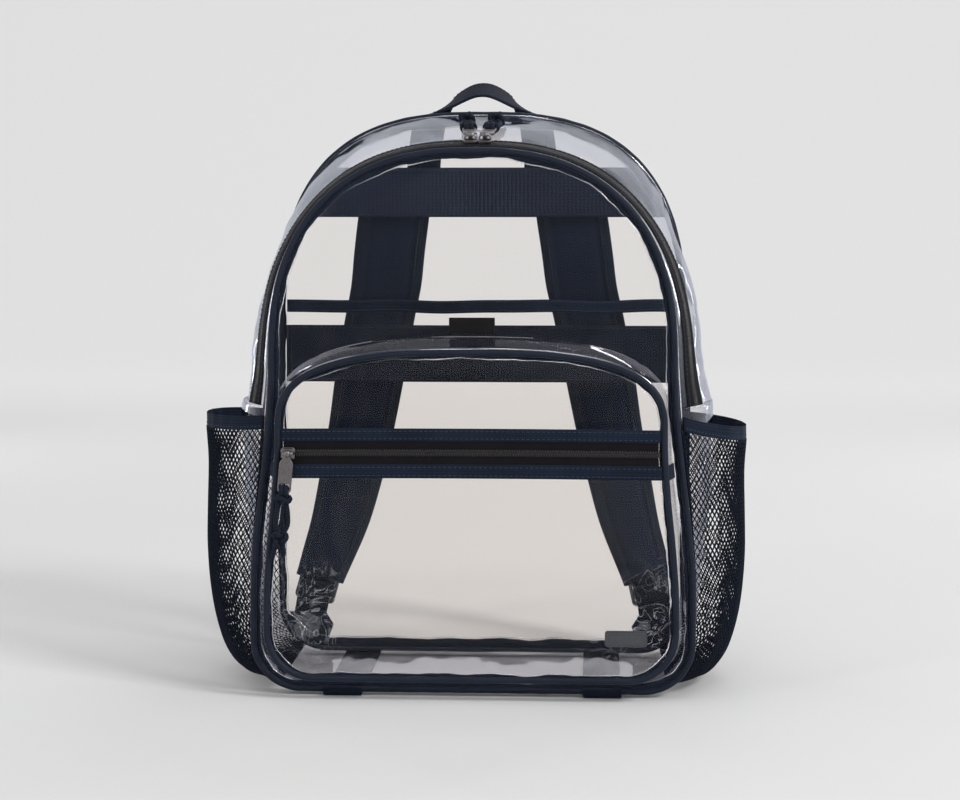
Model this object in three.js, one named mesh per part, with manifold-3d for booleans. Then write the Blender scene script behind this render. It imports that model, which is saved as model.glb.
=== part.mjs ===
// Clear stadium backpack: a see-through vinyl daypack with navy piping, webbing and mesh side pockets.
// Millimetres, +Z up. The front faces -Y, and the bag stands on its two base webbings.
import * as THREE from 'three';
import { mergeVertices } from 'three/addons/utils/BufferGeometryUtils.js';
import Module from 'manifold-3d';

const wasm = await Module();
wasm.setup();

// Clearance between pieces that touch, and the thickness of each sheet
const gap = 0.3;
const filmWall = 1.0;
const tapeWall = 1.0;
const bindingWall = 2.0;
const webbingWall = 1.8;
const netWall = 1.0;
const labelWall = 0.8;
const patchWall = 1.2;

// Main compartment: a front and a back seam, joined by a gusset of clear film
const bagDepth = 140;
const seamCorner = 36;
const leanHeight = 60;
const zipperEndHeight = 203;
const sideBulge = 24;
const seamBottom = webbingWall + gap;
const shared = { bottom: seamBottom, corner: seamCorner, lean: leanHeight, split: zipperEndHeight };
const frontSeam = { ...shared, top: 382.5, lowHalf: 156, springHalf: 142, spring: 235, power: 2.4 };
const backSeam = { ...shared, top: 412, lowHalf: 155, springHalf: 153.5, spring: 250, power: 2.7 };
const frontY = -bagDepth / 2;
const backY = bagDepth / 2;

// Piping: a round welt with a stitched binding that lies inside along the gusset
const piping = { radius: 2.2, bindingWall: 0.9, mainBinding: 10, pocketBinding: 8 };
const panelInset = 2 * piping.radius + gap;
const filmStart = piping.radius + gap;

// Zipper over the arch, its middle behind the front seam
const mainZip = { middle: 24.5, coil: 6, coilWall: 2.2, tape: 7.2, meetingX: 2.8, fan: 0.096 };

// Front pocket: its foot lies on the front panel, just inside the front seam
const pocket = { depth: 22, top: 245, spring: 190, footInset: 6, footRise: 8 };
const pocketTaper = { bottom: 6, low: 6.5, high: 3.5, corner: 1 };
const pocketZip = { middle: 173.4, coil: 5, coilWall: 2.2, tape: 4.7, upperBinding: 9, lowerBinding: 9.8 };
const pocketZipLow = pocketZip.middle - pocketZip.coil / 2 - pocketZip.tape - pocketZip.lowerBinding - 2 * gap;
const endTab = { height: 10, wall: 0.8, length: 15 };
const label = { width: 31.7, height: 11, rise: 1.6, round: 0.6 };
const patch = { width: 29, height: 11.4, x: 107, z: 46.3, round: 2 };

// Clear sleeve inside, against the back panel
const sleeve = { top: 262, inset: 6.2, belly: 14, binding: 9.5, bindingWall: 2.5 };

// Pieces on the outside of the back panel
const yoke = { drop: 78.5, height: 37, wall: 4, inset: 4.9 };
const yokeBottom = backSeam.top - yoke.drop;
const luggageBand = { bottom: 209, height: 43, wall: 1.5 };
const handle = { width: 25, footX: 45, footRise: 11.5, apexRise: 16.8, apexTilt: 0.44, lean: 0.75 };
const strap = { tuck: 1.5, end: 56, topX: 62.5, endX: 126.5, width: 54, pad: 9, bow: 42 };
const strapTop = yokeBottom + yoke.height - strap.tuck;
const strapWeb = { width: 25, wall: 1.4, tail: 24, tailOut: 6, side: gap };
const webTurn = { seat: 4, upAlong: 1.2, upOut: 0.5, downOut: 0.6, underAlong: 1.6, underOut: 0.3 };
const webLeave = { along: 1, tailAlong: 5, tailOut: 1 };
const adjuster = { width: 31, length: 20, wall: 4, bar: 3.5, slot: 4.5, round: 2, slotRound: 0.6 };
const anchor = { left: 114, top: 32, wall: 2.2, inset: 6.5, webX: 134, webLow: 11, webHigh: 24 };
const anchorCut = { across: 6, down: 10 };

// Base webbings, mesh side pockets
const baseWebbing = { x: 91, width: 27, turnUp: 6 };
const meshPocket = { reach: 192, height: 183, foot: 3.25, frontRim: 197, backRim: 188, rim: 10, rimWall: 2 };
const rimDrop = { left: 0, right: 8 };
const netHole = 0.5;

// Zipper sliders, metal pullers and their cords
const slider = { length: 9.5, plate: 1.4, lip: 1.2, post: 1.6, postX: 3.4, bar: 1.4, barOut: 5.8 };
const puller = { eye: 1.5, eyeWall: 1.1, eyeWidth: 3.2, width: 9.5, length: 27, wall: 1.6, window: 4.1 };
const pullBar = 2;
const pullerCut = { neck: 4, round: 2, windowRound: 0.6, windowSide: 0.5 };
const pocketPullSwing = 0.09;
const pullCord = { radius: 1.5, loop: 1.6, hitchWidth: 11, hitch: 8, knot: 12 };

const finish = {
  film: { color: 0xdcd6d0, roughness: 0.1, metalness: 0, transparent: true, opacity: 0.25 },
  navyBinding: { color: 0x1d2735, roughness: 0.85, metalness: 0 },
  navyWebbing: { color: 0x0f1826, roughness: 0.9, metalness: 0 },
  piping: { color: 0x23293a, roughness: 0.5, metalness: 0 },
  net: { color: 0x1b2230, roughness: 0.9, metalness: 0 },
  zipTape: { color: 0x17151a, roughness: 0.9, metalness: 0 },
  gunmetal: { color: 0x6e6468, roughness: 0.35, metalness: 0.9 },
  rubber: { color: 0x55585e, roughness: 0.7, metalness: 0 },
  label: { color: 0x231f20, roughness: 0.8, metalness: 0 },
  plastic: { color: 0x121722, roughness: 0.45, metalness: 0 },
};

const bag = new THREE.Group();

function add(name, geometry, look, parent = bag) {
  const mesh = new THREE.Mesh(geometry, new THREE.MeshStandardMaterial(finish[look]));
  mesh.name = name;
  parent.add(mesh);
  return mesh;
}

// Value of a column of a table at any share, through the rows on a smooth curve
function tableValue(rows, key, at, column) {
  let row = 1;
  while (row < rows.length - 1 && rows[row][key] < at) {
    row += 1;
  }
  const slopeAt = (index) => {
    const before = rows[Math.max(index - 1, 0)];
    const after = rows[Math.min(index + 1, rows.length - 1)];
    return (after[column] - before[column]) / (after[key] - before[key]);
  };
  const low = rows[row - 1];
  const high = rows[row];
  const span = high[key] - low[key];
  const t = THREE.MathUtils.clamp((at - low[key]) / span, 0, 1);
  const start = (1 + 2 * t) * (1 - t) ** 2 * low[column] + t * (1 - t) ** 2 * span * slopeAt(row - 1);
  const end = t * t * (3 - 2 * t) * high[column] + t * t * (t - 1) * span * slopeAt(row);
  return start + end;
}

// Stations count round a seam: 0 in the middle of the bottom, halfTurn in the middle of the top
const stations = { bottom: 2, corner: 6, split: 9, spring: 11 };
const halfTurn = 19;

function sideHalf(seam, z) {
  const share = THREE.MathUtils.clamp((z - seam.lean) / (seam.spring - seam.lean), 0, 1);
  const eased = (1 - Math.cos(Math.PI * share)) / 2;
  return THREE.MathUtils.lerp(seam.lowHalf, seam.springHalf, eased);
}

// A point on the right half of a seam's outline: flat bottom, round corner, leaning side, arch
function rightSpot(seam, station) {
  const cornerTop = seam.bottom + seam.corner;
  const flatHalf = seam.lowHalf - seam.corner;
  if (station <= stations.bottom) {
    return [(flatHalf * station) / stations.bottom, seam.bottom];
  }
  if (station <= stations.corner) {
    const angle = ((station - stations.bottom) / (stations.corner - stations.bottom)) * (Math.PI / 2);
    return [flatHalf + seam.corner * Math.sin(angle), cornerTop - seam.corner * Math.cos(angle)];
  }
  if (station <= stations.spring) {
    const z = heightAt(seam, station);
    return [sideHalf(seam, z), z];
  }
  const angle = ((station - stations.spring) / (halfTurn - stations.spring)) * (Math.PI / 2);
  const across = Math.max(Math.cos(angle), 0) ** (2 / seam.power);
  const up = Math.sin(angle) ** (2 / seam.power);
  return [seam.springHalf * across, seam.spring + (seam.top - seam.spring) * up];
}

function heightAt(seam, station) {
  const cornerTop = seam.bottom + seam.corner;
  if (station <= stations.split) {
    const share = (station - stations.corner) / (stations.split - stations.corner);
    return THREE.MathUtils.lerp(cornerTop, seam.split, share);
  }
  const share = (station - stations.split) / (stations.spring - stations.split);
  return THREE.MathUtils.lerp(seam.split, seam.spring, share);
}

// The station of a height on a seam's side
function stationAt(seam, z) {
  const cornerTop = seam.bottom + seam.corner;
  if (z <= seam.split) {
    const share = (z - cornerTop) / (seam.split - cornerTop);
    return THREE.MathUtils.lerp(stations.corner, stations.split, share);
  }
  const share = (z - seam.split) / (seam.spring - seam.split);
  return THREE.MathUtils.lerp(stations.split, stations.spring, share);
}

function seamSpot(seam, station) {
  const turn = 2 * halfTurn;
  const wrapped = ((station % turn) + turn) % turn;
  const [x, z] = rightSpot(seam, Math.min(wrapped, turn - wrapped));
  return [wrapped <= halfTurn ? x : -x, z];
}

// A point of a seam moved inwards by an inset, with its outward normal
function seamPoint(seam, station, inset = 0) {
  const step = 0.01;
  const [x, z] = seamSpot(seam, station);
  const [fromX, fromZ] = seamSpot(seam, station - step);
  const [toX, toZ] = seamSpot(seam, station + step);
  const length = Math.hypot(toX - fromX, toZ - fromZ);
  const nx = (toZ - fromZ) / length;
  const nz = (fromX - toX) / length;
  return { x: x - inset * nx, z: z - inset * nz, nx, nz };
}

// Half the width inside a seam at a height
function halfAt(seam, z, inset) {
  let low = stations.bottom;
  let high = halfTurn;
  for (let pass = 0; pass < 30; pass += 1) {
    const middle = (low + high) / 2;
    if (seamPoint(seam, middle, inset).z < z) {
      low = middle;
    } else {
      high = middle;
    }
  }
  return seamPoint(seam, low, inset).x;
}

// Flat outline of a seam's inside, whole or between two heights
function bandOutline(seam, inset, low = -Infinity, high = Infinity) {
  const right = [];
  const nearest = 1;
  if (low > seam.bottom + inset) {
    right.push(new THREE.Vector2(halfAt(seam, low, inset), low));
  }
  for (let station = 0; station <= halfTurn; station += 1) {
    const spot = seamPoint(seam, station, inset);
    if (spot.z > low + nearest && spot.z < high - nearest) {
      right.push(new THREE.Vector2(spot.x, spot.z));
    }
  }
  if (high < seam.top - inset) {
    right.push(new THREE.Vector2(halfAt(seam, high, inset), high));
  }
  const mirrored = right.filter((spot) => Math.abs(spot.x) > 0.01);
  return [...right, ...mirrored.reverse().map((spot) => new THREE.Vector2(-spot.x, spot.y))];
}

// A flat sheet that stands across Y, from an outline in X and Z
function uprightSheet(outline, front, wall, holes = []) {
  const shape = new THREE.Shape(outline);
  shape.holes = holes.map((hole) => new THREE.Path(hole));
  const geometry = new THREE.ExtrudeGeometry(shape, { depth: wall, bevelEnabled: false });
  geometry.rotateX(Math.PI / 2);
  geometry.translate(0, front + wall, 0);
  return geometry;
}

function roundedRectangle(width, height, round, x = 0, z = 0) {
  const shape = new THREE.Shape();
  const right = width / 2 - round;
  const top = height / 2 - round;
  shape.absarc(x + right, z + top, round, 0, Math.PI / 2, false);
  shape.absarc(x - right, z + top, round, Math.PI / 2, Math.PI, false);
  shape.absarc(x - right, z - top, round, Math.PI, 1.5 * Math.PI, false);
  shape.absarc(x + right, z - top, round, 1.5 * Math.PI, 2 * Math.PI, false);
  return shape.getPoints(1).slice(0, -1);
}

// A closed body from points and faces, turned so that its faces point out
function closedBody(points, faces) {
  let volume = 0;
  for (const [a, b, c] of faces) {
    volume += points[a].dot(new THREE.Vector3().crossVectors(points[b], points[c]));
  }
  const order = volume < 0 ? faces.map(([a, b, c]) => [a, c, b]) : faces;
  const geometry = new THREE.BufferGeometry().setFromPoints(points);
  geometry.setIndex(order.flat());
  geometry.computeVertexNormals();
  return geometry;
}

// The walls round the open edges of a double sheet of rows and columns
function edgeWalls(rows, columns, outer, inner, isLoop) {
  const faces = [];
  const wall = (a, b, c, d) => faces.push([a, b, c], [a, c, d]);
  for (let i = 0; i < (isLoop ? rows : rows - 1); i += 1) {
    const next = (i + 1) % rows;
    const last = columns - 1;
    wall(outer(i, 0), inner(i, 0), inner(next, 0), outer(next, 0));
    wall(outer(next, last), inner(next, last), inner(i, last), outer(i, last));
  }
  for (let j = 0; !isLoop && j < columns - 1; j += 1) {
    const last = rows - 1;
    wall(outer(0, j + 1), inner(0, j + 1), inner(0, j), outer(0, j));
    wall(outer(last, j), inner(last, j), inner(last, j + 1), outer(last, j + 1));
  }
  return faces;
}

// A sheet between an outer and an inner grid of points, each a list of rows
function doubleSheet(outerGrid, innerGrid, isLoop = false) {
  const rows = outerGrid.length;
  const columns = outerGrid[0].length;
  const points = [...outerGrid.flat(), ...innerGrid.flat()];
  const outer = (i, j) => i * columns + j;
  const inner = (i, j) => rows * columns + i * columns + j;
  const faces = edgeWalls(rows, columns, outer, inner, isLoop);
  for (let i = 0; i < (isLoop ? rows : rows - 1); i += 1) {
    const next = (i + 1) % rows;
    for (let j = 0; j < columns - 1; j += 1) {
      faces.push([outer(i, j), outer(next, j), outer(next, j + 1)]);
      faces.push([outer(i, j), outer(next, j + 1), outer(i, j + 1)]);
      faces.push([inner(i, j), inner(next, j + 1), inner(next, j)]);
      faces.push([inner(i, j), inner(i, j + 1), inner(next, j + 1)]);
    }
  }
  return closedBody(points, faces);
}

// A double sheet with a diamond hole cut through each of its cells
function netSheet(outerGrid, innerGrid, holeShare) {
  const rows = outerGrid.length;
  const columns = outerGrid[0].length;
  const points = [...outerGrid.flat(), ...innerGrid.flat()];
  const outer = (i, j) => i * columns + j;
  const inner = (i, j) => rows * columns + i * columns + j;
  const faces = edgeWalls(rows, columns, outer, inner, false);
  const ringOf = (grid, corner, i, j) => {
    const spots = [grid[i][j], grid[i + 1][j], grid[i + 1][j + 1], grid[i][j + 1]];
    const centre = new THREE.Vector3();
    spots.forEach((spot) => centre.addScaledVector(spot, 0.25));
    const first = points.length;
    spots.forEach((spot, side) => {
      const middle = spot.clone().lerp(spots[(side + 1) % 4], 0.5);
      points.push(centre.clone().lerp(middle, holeShare));
    });
    const corners = [corner(i, j), corner(i + 1, j), corner(i + 1, j + 1), corner(i, j + 1)];
    return { corners, first };
  };
  for (let i = 0; i < rows - 1; i += 1) {
    for (let j = 0; j < columns - 1; j += 1) {
      const front = ringOf(outerGrid, outer, i, j);
      const rear = ringOf(innerGrid, inner, i, j);
      for (let side = 0; side < 4; side += 1) {
        const next = (side + 1) % 4;
        faces.push([front.corners[side], front.corners[next], front.first + side]);
        faces.push([front.corners[next], front.first + next, front.first + side]);
        faces.push([rear.corners[side], rear.first + side, rear.corners[next]]);
        faces.push([rear.corners[next], rear.first + side, rear.first + next]);
        faces.push([front.first + side, front.first + next, rear.first + next]);
        faces.push([front.first + side, rear.first + next, rear.first + side]);
      }
    }
  }
  return closedBody(points, faces);
}

// A body lofted through rings of points, closed by flat ends or joined to itself
function loft(rings, isLoop = false) {
  const size = rings[0].length;
  const count = rings.length;
  const faces = [];
  for (let i = 0; i < (isLoop ? count : count - 1); i += 1) {
    const next = (i + 1) % count;
    for (let j = 0; j < size; j += 1) {
      const after = (j + 1) % size;
      faces.push([i * size + j, i * size + after, next * size + after]);
      faces.push([i * size + j, next * size + after, next * size + j]);
    }
  }
  for (let j = 1; !isLoop && j < size - 1; j += 1) {
    faces.push([0, j + 1, j]);
    faces.push([(count - 1) * size, (count - 1) * size + j, (count - 1) * size + j + 1]);
  }
  return closedBody(rings.flat(), faces);
}

// A sheet of one thickness about a grid of points
function thicken(grid, wall) {
  const offset = (side) =>
    grid.map((row, i) =>
      row.map((spot, j) => {
        const before = grid[Math.max(i - 1, 0)][j];
        const after = grid[Math.min(i + 1, grid.length - 1)][j];
        const left = row[Math.max(j - 1, 0)];
        const right = row[Math.min(j + 1, row.length - 1)];
        const along = after.clone().sub(before);
        const normal = along.cross(right.clone().sub(left)).normalize();
        return spot.clone().addScaledVector(normal, (side * wall) / 2);
      }),
    );
  return [offset(1), offset(-1)];
}

// Flat webbing along a path, with the direction of its width at each point
function webbing(path, across, width, wall) {
  const grid = path.map((spot, i) => {
    const half = across[i].clone().multiplyScalar(width / 2);
    return [spot.clone().sub(half), spot.clone().add(half)];
  });
  return doubleSheet(...thicken(grid, wall));
}

function asManifold(geometry) {
  const bare = geometry.clone();
  bare.deleteAttribute('normal');
  bare.deleteAttribute('uv');
  const merged = mergeVertices(bare, 1e-4);
  const vertProperties = Float32Array.from(merged.attributes.position.array);
  const triVerts = Uint32Array.from(merged.index.array);
  return new wasm.Manifold(new wasm.Mesh({ numProp: 3, vertProperties, triVerts }));
}

function fuse(geometries) {
  const [first, ...others] = geometries.map(asManifold);
  const { vertProperties, triVerts } = others.reduce((body, next) => body.add(next), first).getMesh();
  const geometry = new THREE.BufferGeometry();
  geometry.setAttribute('position', new THREE.BufferAttribute(vertProperties, 3));
  geometry.setIndex(new THREE.BufferAttribute(triVerts, 1));
  geometry.computeVertexNormals();
  return geometry;
}

function block(sizeX, sizeY, sizeZ, x, y, z) {
  return new THREE.BoxGeometry(sizeX, sizeY, sizeZ).translate(x, y, z);
}

function ball(width, depth, height, x, y, z) {
  return new THREE.SphereGeometry(0.5, 8, 6).scale(width, depth, height).translate(x, y, z);
}

function tube(route, radius, steps) {
  const section = new THREE.Shape();
  for (let corner = 0; corner < 8; corner += 1) {
    const angle = (corner / 8) * 2 * Math.PI;
    const draw = corner === 0 ? 'moveTo' : 'lineTo';
    section[draw](radius * Math.cos(angle), radius * Math.sin(angle));
  }
  const path = new THREE.CatmullRomCurve3(route.map((spot) => new THREE.Vector3(...spot)));
  return new THREE.ExtrudeGeometry(section, { steps, extrudePath: path, bevelEnabled: false });
}

// How far the side film swells at its middle depth, up the height of the bag
const swell = [
  { up: 0, out: 0 },
  { up: 0.09, out: 0.1 },
  { up: 0.25, out: 0.55 },
  { up: 0.46, out: 1 },
  { up: 0.55, out: 0.75 },
  { up: 0.66, out: 0.5 },
  { up: 0.72, out: 0.4 },
  { up: 0.85, out: 0.15 },
  { up: 1, out: 0 },
];

// Middle of the gusset film: between the two seams, and swollen at the sides
function bagSkin(station, y, offset) {
  const share = (y - frontY) / bagDepth;
  const front = seamPoint(frontSeam, station, piping.radius);
  const back = seamPoint(backSeam, station, piping.radius);
  const nx = THREE.MathUtils.lerp(front.nx, back.nx, share);
  const nz = THREE.MathUtils.lerp(front.nz, back.nz, share);
  const z = THREE.MathUtils.lerp(front.z, back.z, share);
  const belly = sideBulge * tableValue(swell, 'up', z / backSeam.top, 'out') * 4 * share * (1 - share);
  const x = THREE.MathUtils.lerp(front.x, back.x, share) + belly * nx * Math.abs(nx);
  const length = Math.hypot(nx, nz);
  return new THREE.Vector3(x + (offset * nx) / length, y, z + (offset * nz) / length);
}

const footSeam = {
  bottom: seamBottom + pocket.footInset,
  top: pocket.top + pocket.footRise,
  lowHalf: frontSeam.lowHalf - pocket.footInset,
  springHalf: sideHalf(frontSeam, pocket.spring) - pocket.footInset,
  lean: leanHeight,
  split: pocketZipLow,
  spring: pocket.spring,
  corner: seamCorner,
  power: 2.8,
};
const pocketSeam = {
  ...footSeam,
  bottom: footSeam.bottom + pocketTaper.bottom,
  top: pocket.top,
  lowHalf: footSeam.lowHalf - pocketTaper.low,
  springHalf: footSeam.springHalf - pocketTaper.high,
  corner: seamCorner - pocketTaper.corner,
};
const pocketY = frontY - pocket.depth;

// Middle of the pocket's gusset film, between its piping and its foot
function pocketSkin(station, y, offset) {
  const share = (y - pocketY) / pocket.depth;
  const front = seamPoint(pocketSeam, station, piping.radius);
  const foot = seamPoint(footSeam, station);
  const nx = THREE.MathUtils.lerp(front.nx, foot.nx, share);
  const nz = THREE.MathUtils.lerp(front.nz, foot.nz, share);
  const length = Math.hypot(nx, nz);
  const x = THREE.MathUtils.lerp(front.x, foot.x, share) + (offset * nx) / length;
  const z = THREE.MathUtils.lerp(front.z, foot.z, share) + (offset * nz) / length;
  return new THREE.Vector3(x, y, z);
}

// Both ends of a run along a seam, and every whole station between them
function stationsOf(from, to, isLoop) {
  const whole = [];
  for (let station = Math.ceil(from + 0.01); station < to - 0.01; station += 1) {
    whole.push(station);
  }
  return isLoop ? [from, ...whole] : [from, ...whole, to];
}

// A strip of a skin: between two stations, through a list of depths
function skinStrip(skin, from, to, depths, wall, isLoop = false) {
  const layer = (offset) =>
    stationsOf(from, to, isLoop).map((station) => depths.map((y) => skin(station, y, offset)));
  return doubleSheet(layer(wall / 2), layer(-wall / 2), isLoop);
}

// Piping along a seam: its welt, and the binding that follows the film inside
function pipingRun(skin, seamY, inwards, bindingLength, from = 0, to = 2 * halfTurn) {
  const { radius } = piping;
  const bindingOut = -(filmWall / 2 + gap);
  const bindingIn = bindingOut - piping.bindingWall;
  const chamfer = radius / 2;
  const rise = (n) => Math.sqrt(radius ** 2 - n ** 2);
  const welt = [{ n: radius, y: 0 }, { n: chamfer, y: -rise(chamfer) }];
  welt.push({ n: -chamfer, y: -rise(chamfer) }, { n: -radius, y: 0 });
  const binding = [
    { n: bindingIn, y: rise(bindingIn) },
    { n: bindingIn, y: bindingLength },
    { n: bindingOut, y: bindingLength },
    { n: bindingOut, y: rise(bindingOut) },
  ];
  const weltPoint = (station, spot) => {
    const point = skin(station, seamY, spot.n);
    point.y += inwards * spot.y;
    return point;
  };
  const isLoop = to - from === 2 * halfTurn;
  const rings = stationsOf(from, to, isLoop).map((station) => {
    const ring = [
      ...welt.map((spot) => weltPoint(station, spot)),
      ...binding.map((spot) => skin(station, seamY + inwards * spot.y, spot.n)),
      weltPoint(station, { n: chamfer, y: rise(chamfer) }),
    ];
    // The front seams run the other way round, so that they fold along the same lines as the film.
    // They start at the corner of the binding, from which an open end can be closed.
    return inwards > 0 ? [...ring.slice(0, -1).reverse(), ring.at(-1)] : ring;
  });
  return loft(rings, isLoop);
}

function makeMainCompartment() {
  add('back_panel', uprightSheet(bandOutline(backSeam, panelInset), backY - filmWall / 2, filmWall), 'film');
  add('front_panel', uprightSheet(bandOutline(frontSeam, panelInset), frontY - filmWall / 2, filmWall), 'film');
  add('back_piping', pipingRun(bagSkin, backY, -1, piping.mainBinding), 'piping');

  const nearFront = [frontY + filmStart, frontY + piping.mainBinding];
  const nearBack = [backY - piping.mainBinding, backY - filmStart];
  const lowEnd = stationAt(frontSeam, zipperEndHeight - gap);
  const lowDepths = [...nearFront, frontY / 2, 0, backY / 2, ...nearBack];
  add('lower_gusset', skinStrip(bagSkin, -lowEnd, lowEnd, lowDepths, filmWall), 'film');

  const highStart = stations.split;
  const highEnd = 2 * halfTurn - highStart;
  // The front piping is joined in the middle of the bottom and at both ends of the zipper
  const bottomStart = gap / (frontSeam.lowHalf - frontSeam.corner);
  const frontRun = (from, to) => pipingRun(bagSkin, frontY, 1, piping.mainBinding, from, to);
  add('front_piping_left', frontRun(-lowEnd, -bottomStart), 'piping');
  add('front_piping_right', frontRun(bottomStart, lowEnd), 'piping');
  add('front_piping_arch', frontRun(highStart, highEnd), 'piping');

  const zipY = frontY + mainZip.middle;
  const coilEdge = mainZip.coil / 2;
  const tapeStart = coilEdge + gap;
  const tapeEnd = tapeStart + mainZip.tape;
  const filmEdge = tapeEnd + gap;
  const frontDepths = [...nearFront, zipY - filmEdge];
  const rearDepths = [zipY + filmEdge, 0, backY / 2, ...nearBack];
  const arch = (depths, wall) => skinStrip(bagSkin, highStart, highEnd, depths, wall);
  add('upper_gusset_front', arch(frontDepths, filmWall), 'film');
  add('upper_gusset_rear', arch(rearDepths, filmWall), 'film');
  add('main_zipper_tape_front', arch([zipY - tapeEnd, zipY - tapeStart], tapeWall), 'zipTape');
  add('main_zipper_tape_rear', arch([zipY + tapeStart, zipY + tapeEnd], tapeWall), 'zipTape');
  add('main_zipper_coil', arch([zipY - coilEdge, zipY + coilEdge], mainZip.coilWall), 'zipTape');
}

// The front pocket's face is cut by its zipper into an upper and a lower panel
function makePocket() {
  const depths = [pocketY + filmStart, pocketY + piping.pocketBinding, frontY - filmWall / 2 - gap];
  add('pocket_piping', pipingRun(pocketSkin, pocketY, 1, piping.pocketBinding), 'piping');
  add('pocket_gusset', skinStrip(pocketSkin, 0, 2 * halfTurn, depths, filmWall, true), 'film');

  const coilLow = pocketZip.middle - pocketZip.coil / 2;
  const coilHigh = pocketZip.middle + pocketZip.coil / 2;
  const lowTape = coilLow - gap - pocketZip.tape;
  const highTape = coilHigh + gap + pocketZip.tape;
  const highBinding = highTape + gap + pocketZip.upperBinding;
  const band = (name, low, high, wall, look) => {
    const outline = bandOutline(pocketSeam, panelInset, low, high);
    add(name, uprightSheet(outline, pocketY - wall / 2, wall), look);
  };
  band('pocket_panel_lower', -Infinity, pocketZipLow - gap, filmWall, 'film');
  band('pocket_zipper_binding_lower', pocketZipLow, lowTape - gap, bindingWall, 'navyBinding');
  band('pocket_zipper_tape_lower', lowTape, coilLow - gap, tapeWall, 'zipTape');
  band('pocket_zipper_coil', coilLow, coilHigh, pocketZip.coilWall, 'zipTape');
  band('pocket_zipper_tape_upper', coilHigh + gap, highTape, tapeWall, 'zipTape');
  band('pocket_zipper_binding_upper', highTape + gap, highBinding, bindingWall, 'navyBinding');
  band('pocket_panel_upper', highBinding + gap, Infinity, filmWall, 'film');

  const tabDepths = [pocketY + filmStart, pocketY + filmStart + endTab.length];
  const tabOffset = filmWall / 2 + gap + endTab.wall / 2;
  const tabSkin = (station, y, offset) => pocketSkin(station, y, offset + tabOffset);
  const tabLow = stationAt(pocketSeam, pocketZipLow);
  const tabHigh = stationAt(pocketSeam, pocketZipLow + endTab.height);
  const turn = 2 * halfTurn;
  add('zipper_end_tab_right', skinStrip(tabSkin, tabLow, tabHigh, tabDepths, endTab.wall), 'navyBinding');
  const leftTab = skinStrip(tabSkin, turn - tabHigh, turn - tabLow, tabDepths, endTab.wall);
  add('zipper_end_tab_left', leftTab, 'navyBinding');
}

function makeLabels() {
  const labelZ = footSeam.top + label.rise + label.height / 2;
  const labelShape = roundedRectangle(label.width, label.height, label.round, 0, labelZ);
  const labelY = frontY - filmWall / 2 - gap - labelWall;
  add('front_label', uprightSheet(labelShape, labelY, labelWall), 'label');
  const patchShape = roundedRectangle(patch.width, patch.height, patch.round, patch.x, patch.z);
  const patchY = pocketY - filmWall / 2 - gap - patchWall;
  add('rubber_patch', uprightSheet(patchShape, patchY, patchWall), 'rubber');
}

// Inside sleeve: sewn along its sides and bottom, and bellied forward at its open top
function sleeveGrid(heights, standOff) {
  const columns = 10;
  return heights.map((z) => {
    const half = halfAt(backSeam, z, sleeve.inset);
    const rise = Math.sin((Math.min(z / sleeve.top, 1) * Math.PI) / 2);
    const row = [];
    for (let j = 0; j <= columns; j += 1) {
      const across = (2 * j) / columns - 1;
      const belly = sleeve.belly * rise * (1 - across ** 2);
      row.push(new THREE.Vector3(across * half, backY - filmWall / 2 - gap - standOff - belly, z));
    }
    return row;
  });
}

function makeSleeve() {
  const bottom = seamBottom + sleeve.inset;
  const shares = [0, 0.02, 0.06, 0.13, 0.3, 0.55, 0.8, 1];
  const heights = shares.map((share) => THREE.MathUtils.lerp(bottom, sleeve.top, share));
  add('sleeve_panel', doubleSheet(...thicken(sleeveGrid(heights, filmWall / 2), filmWall)), 'film');
  const edges = [sleeve.top + gap, sleeve.top + gap + sleeve.binding];
  const wall = sleeve.bindingWall;
  add('sleeve_binding', doubleSheet(...thicken(sleeveGrid(edges, wall / 2), wall)), 'navyBinding');
}

// Carry handle: half its path, from the foot on the yoke up to the apex, turned flat on the way
const handlePath = [
  { up: 0, out: 1, turn: 0 },
  { up: 0.322, out: 0.978, turn: 0 },
  { up: 0.549, out: 0.933, turn: 0 },
  { up: 0.692, out: 0.878, turn: 0.12 },
  { up: 0.8, out: 0.733, turn: 0.45 },
  { up: 0.895, out: 0.489, turn: 0.85 },
  { up: 0.978, out: 0.2, turn: 1 },
  { up: 1, out: 0, turn: 1 },
];

function makeHandle() {
  const footY = backY + filmWall / 2 + gap + yoke.wall + gap + webbingWall / 2;
  const flat = new THREE.Vector3(0, -Math.cos(handle.apexTilt), -Math.sin(handle.apexTilt));
  const half = handlePath.map(({ up, out, turn }) => {
    const across = new THREE.Vector3(1, 0, 0).lerp(flat, turn).normalize();
    const y = footY + Math.abs(across.y) * (handle.width / 2) * handle.lean;
    const z = THREE.MathUtils.lerp(yokeBottom + handle.footRise, backSeam.top + handle.apexRise, up);
    return { spot: new THREE.Vector3(out * handle.footX, y, z), across };
  });
  const mirror = new THREE.Vector3(-1, 1, 1);
  const other = half.slice(0, -1).reverse().map(({ spot, across }) => ({
    spot: spot.clone().multiply(mirror),
    across: across.clone().multiply(mirror),
  }));
  const whole = [...half, ...other];
  const path = whole.map(({ spot }) => spot);
  const sides = whole.map(({ across }) => across);
  add('handle', webbing(path, sides, handle.width, webbingWall), 'navyWebbing');
}

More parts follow.
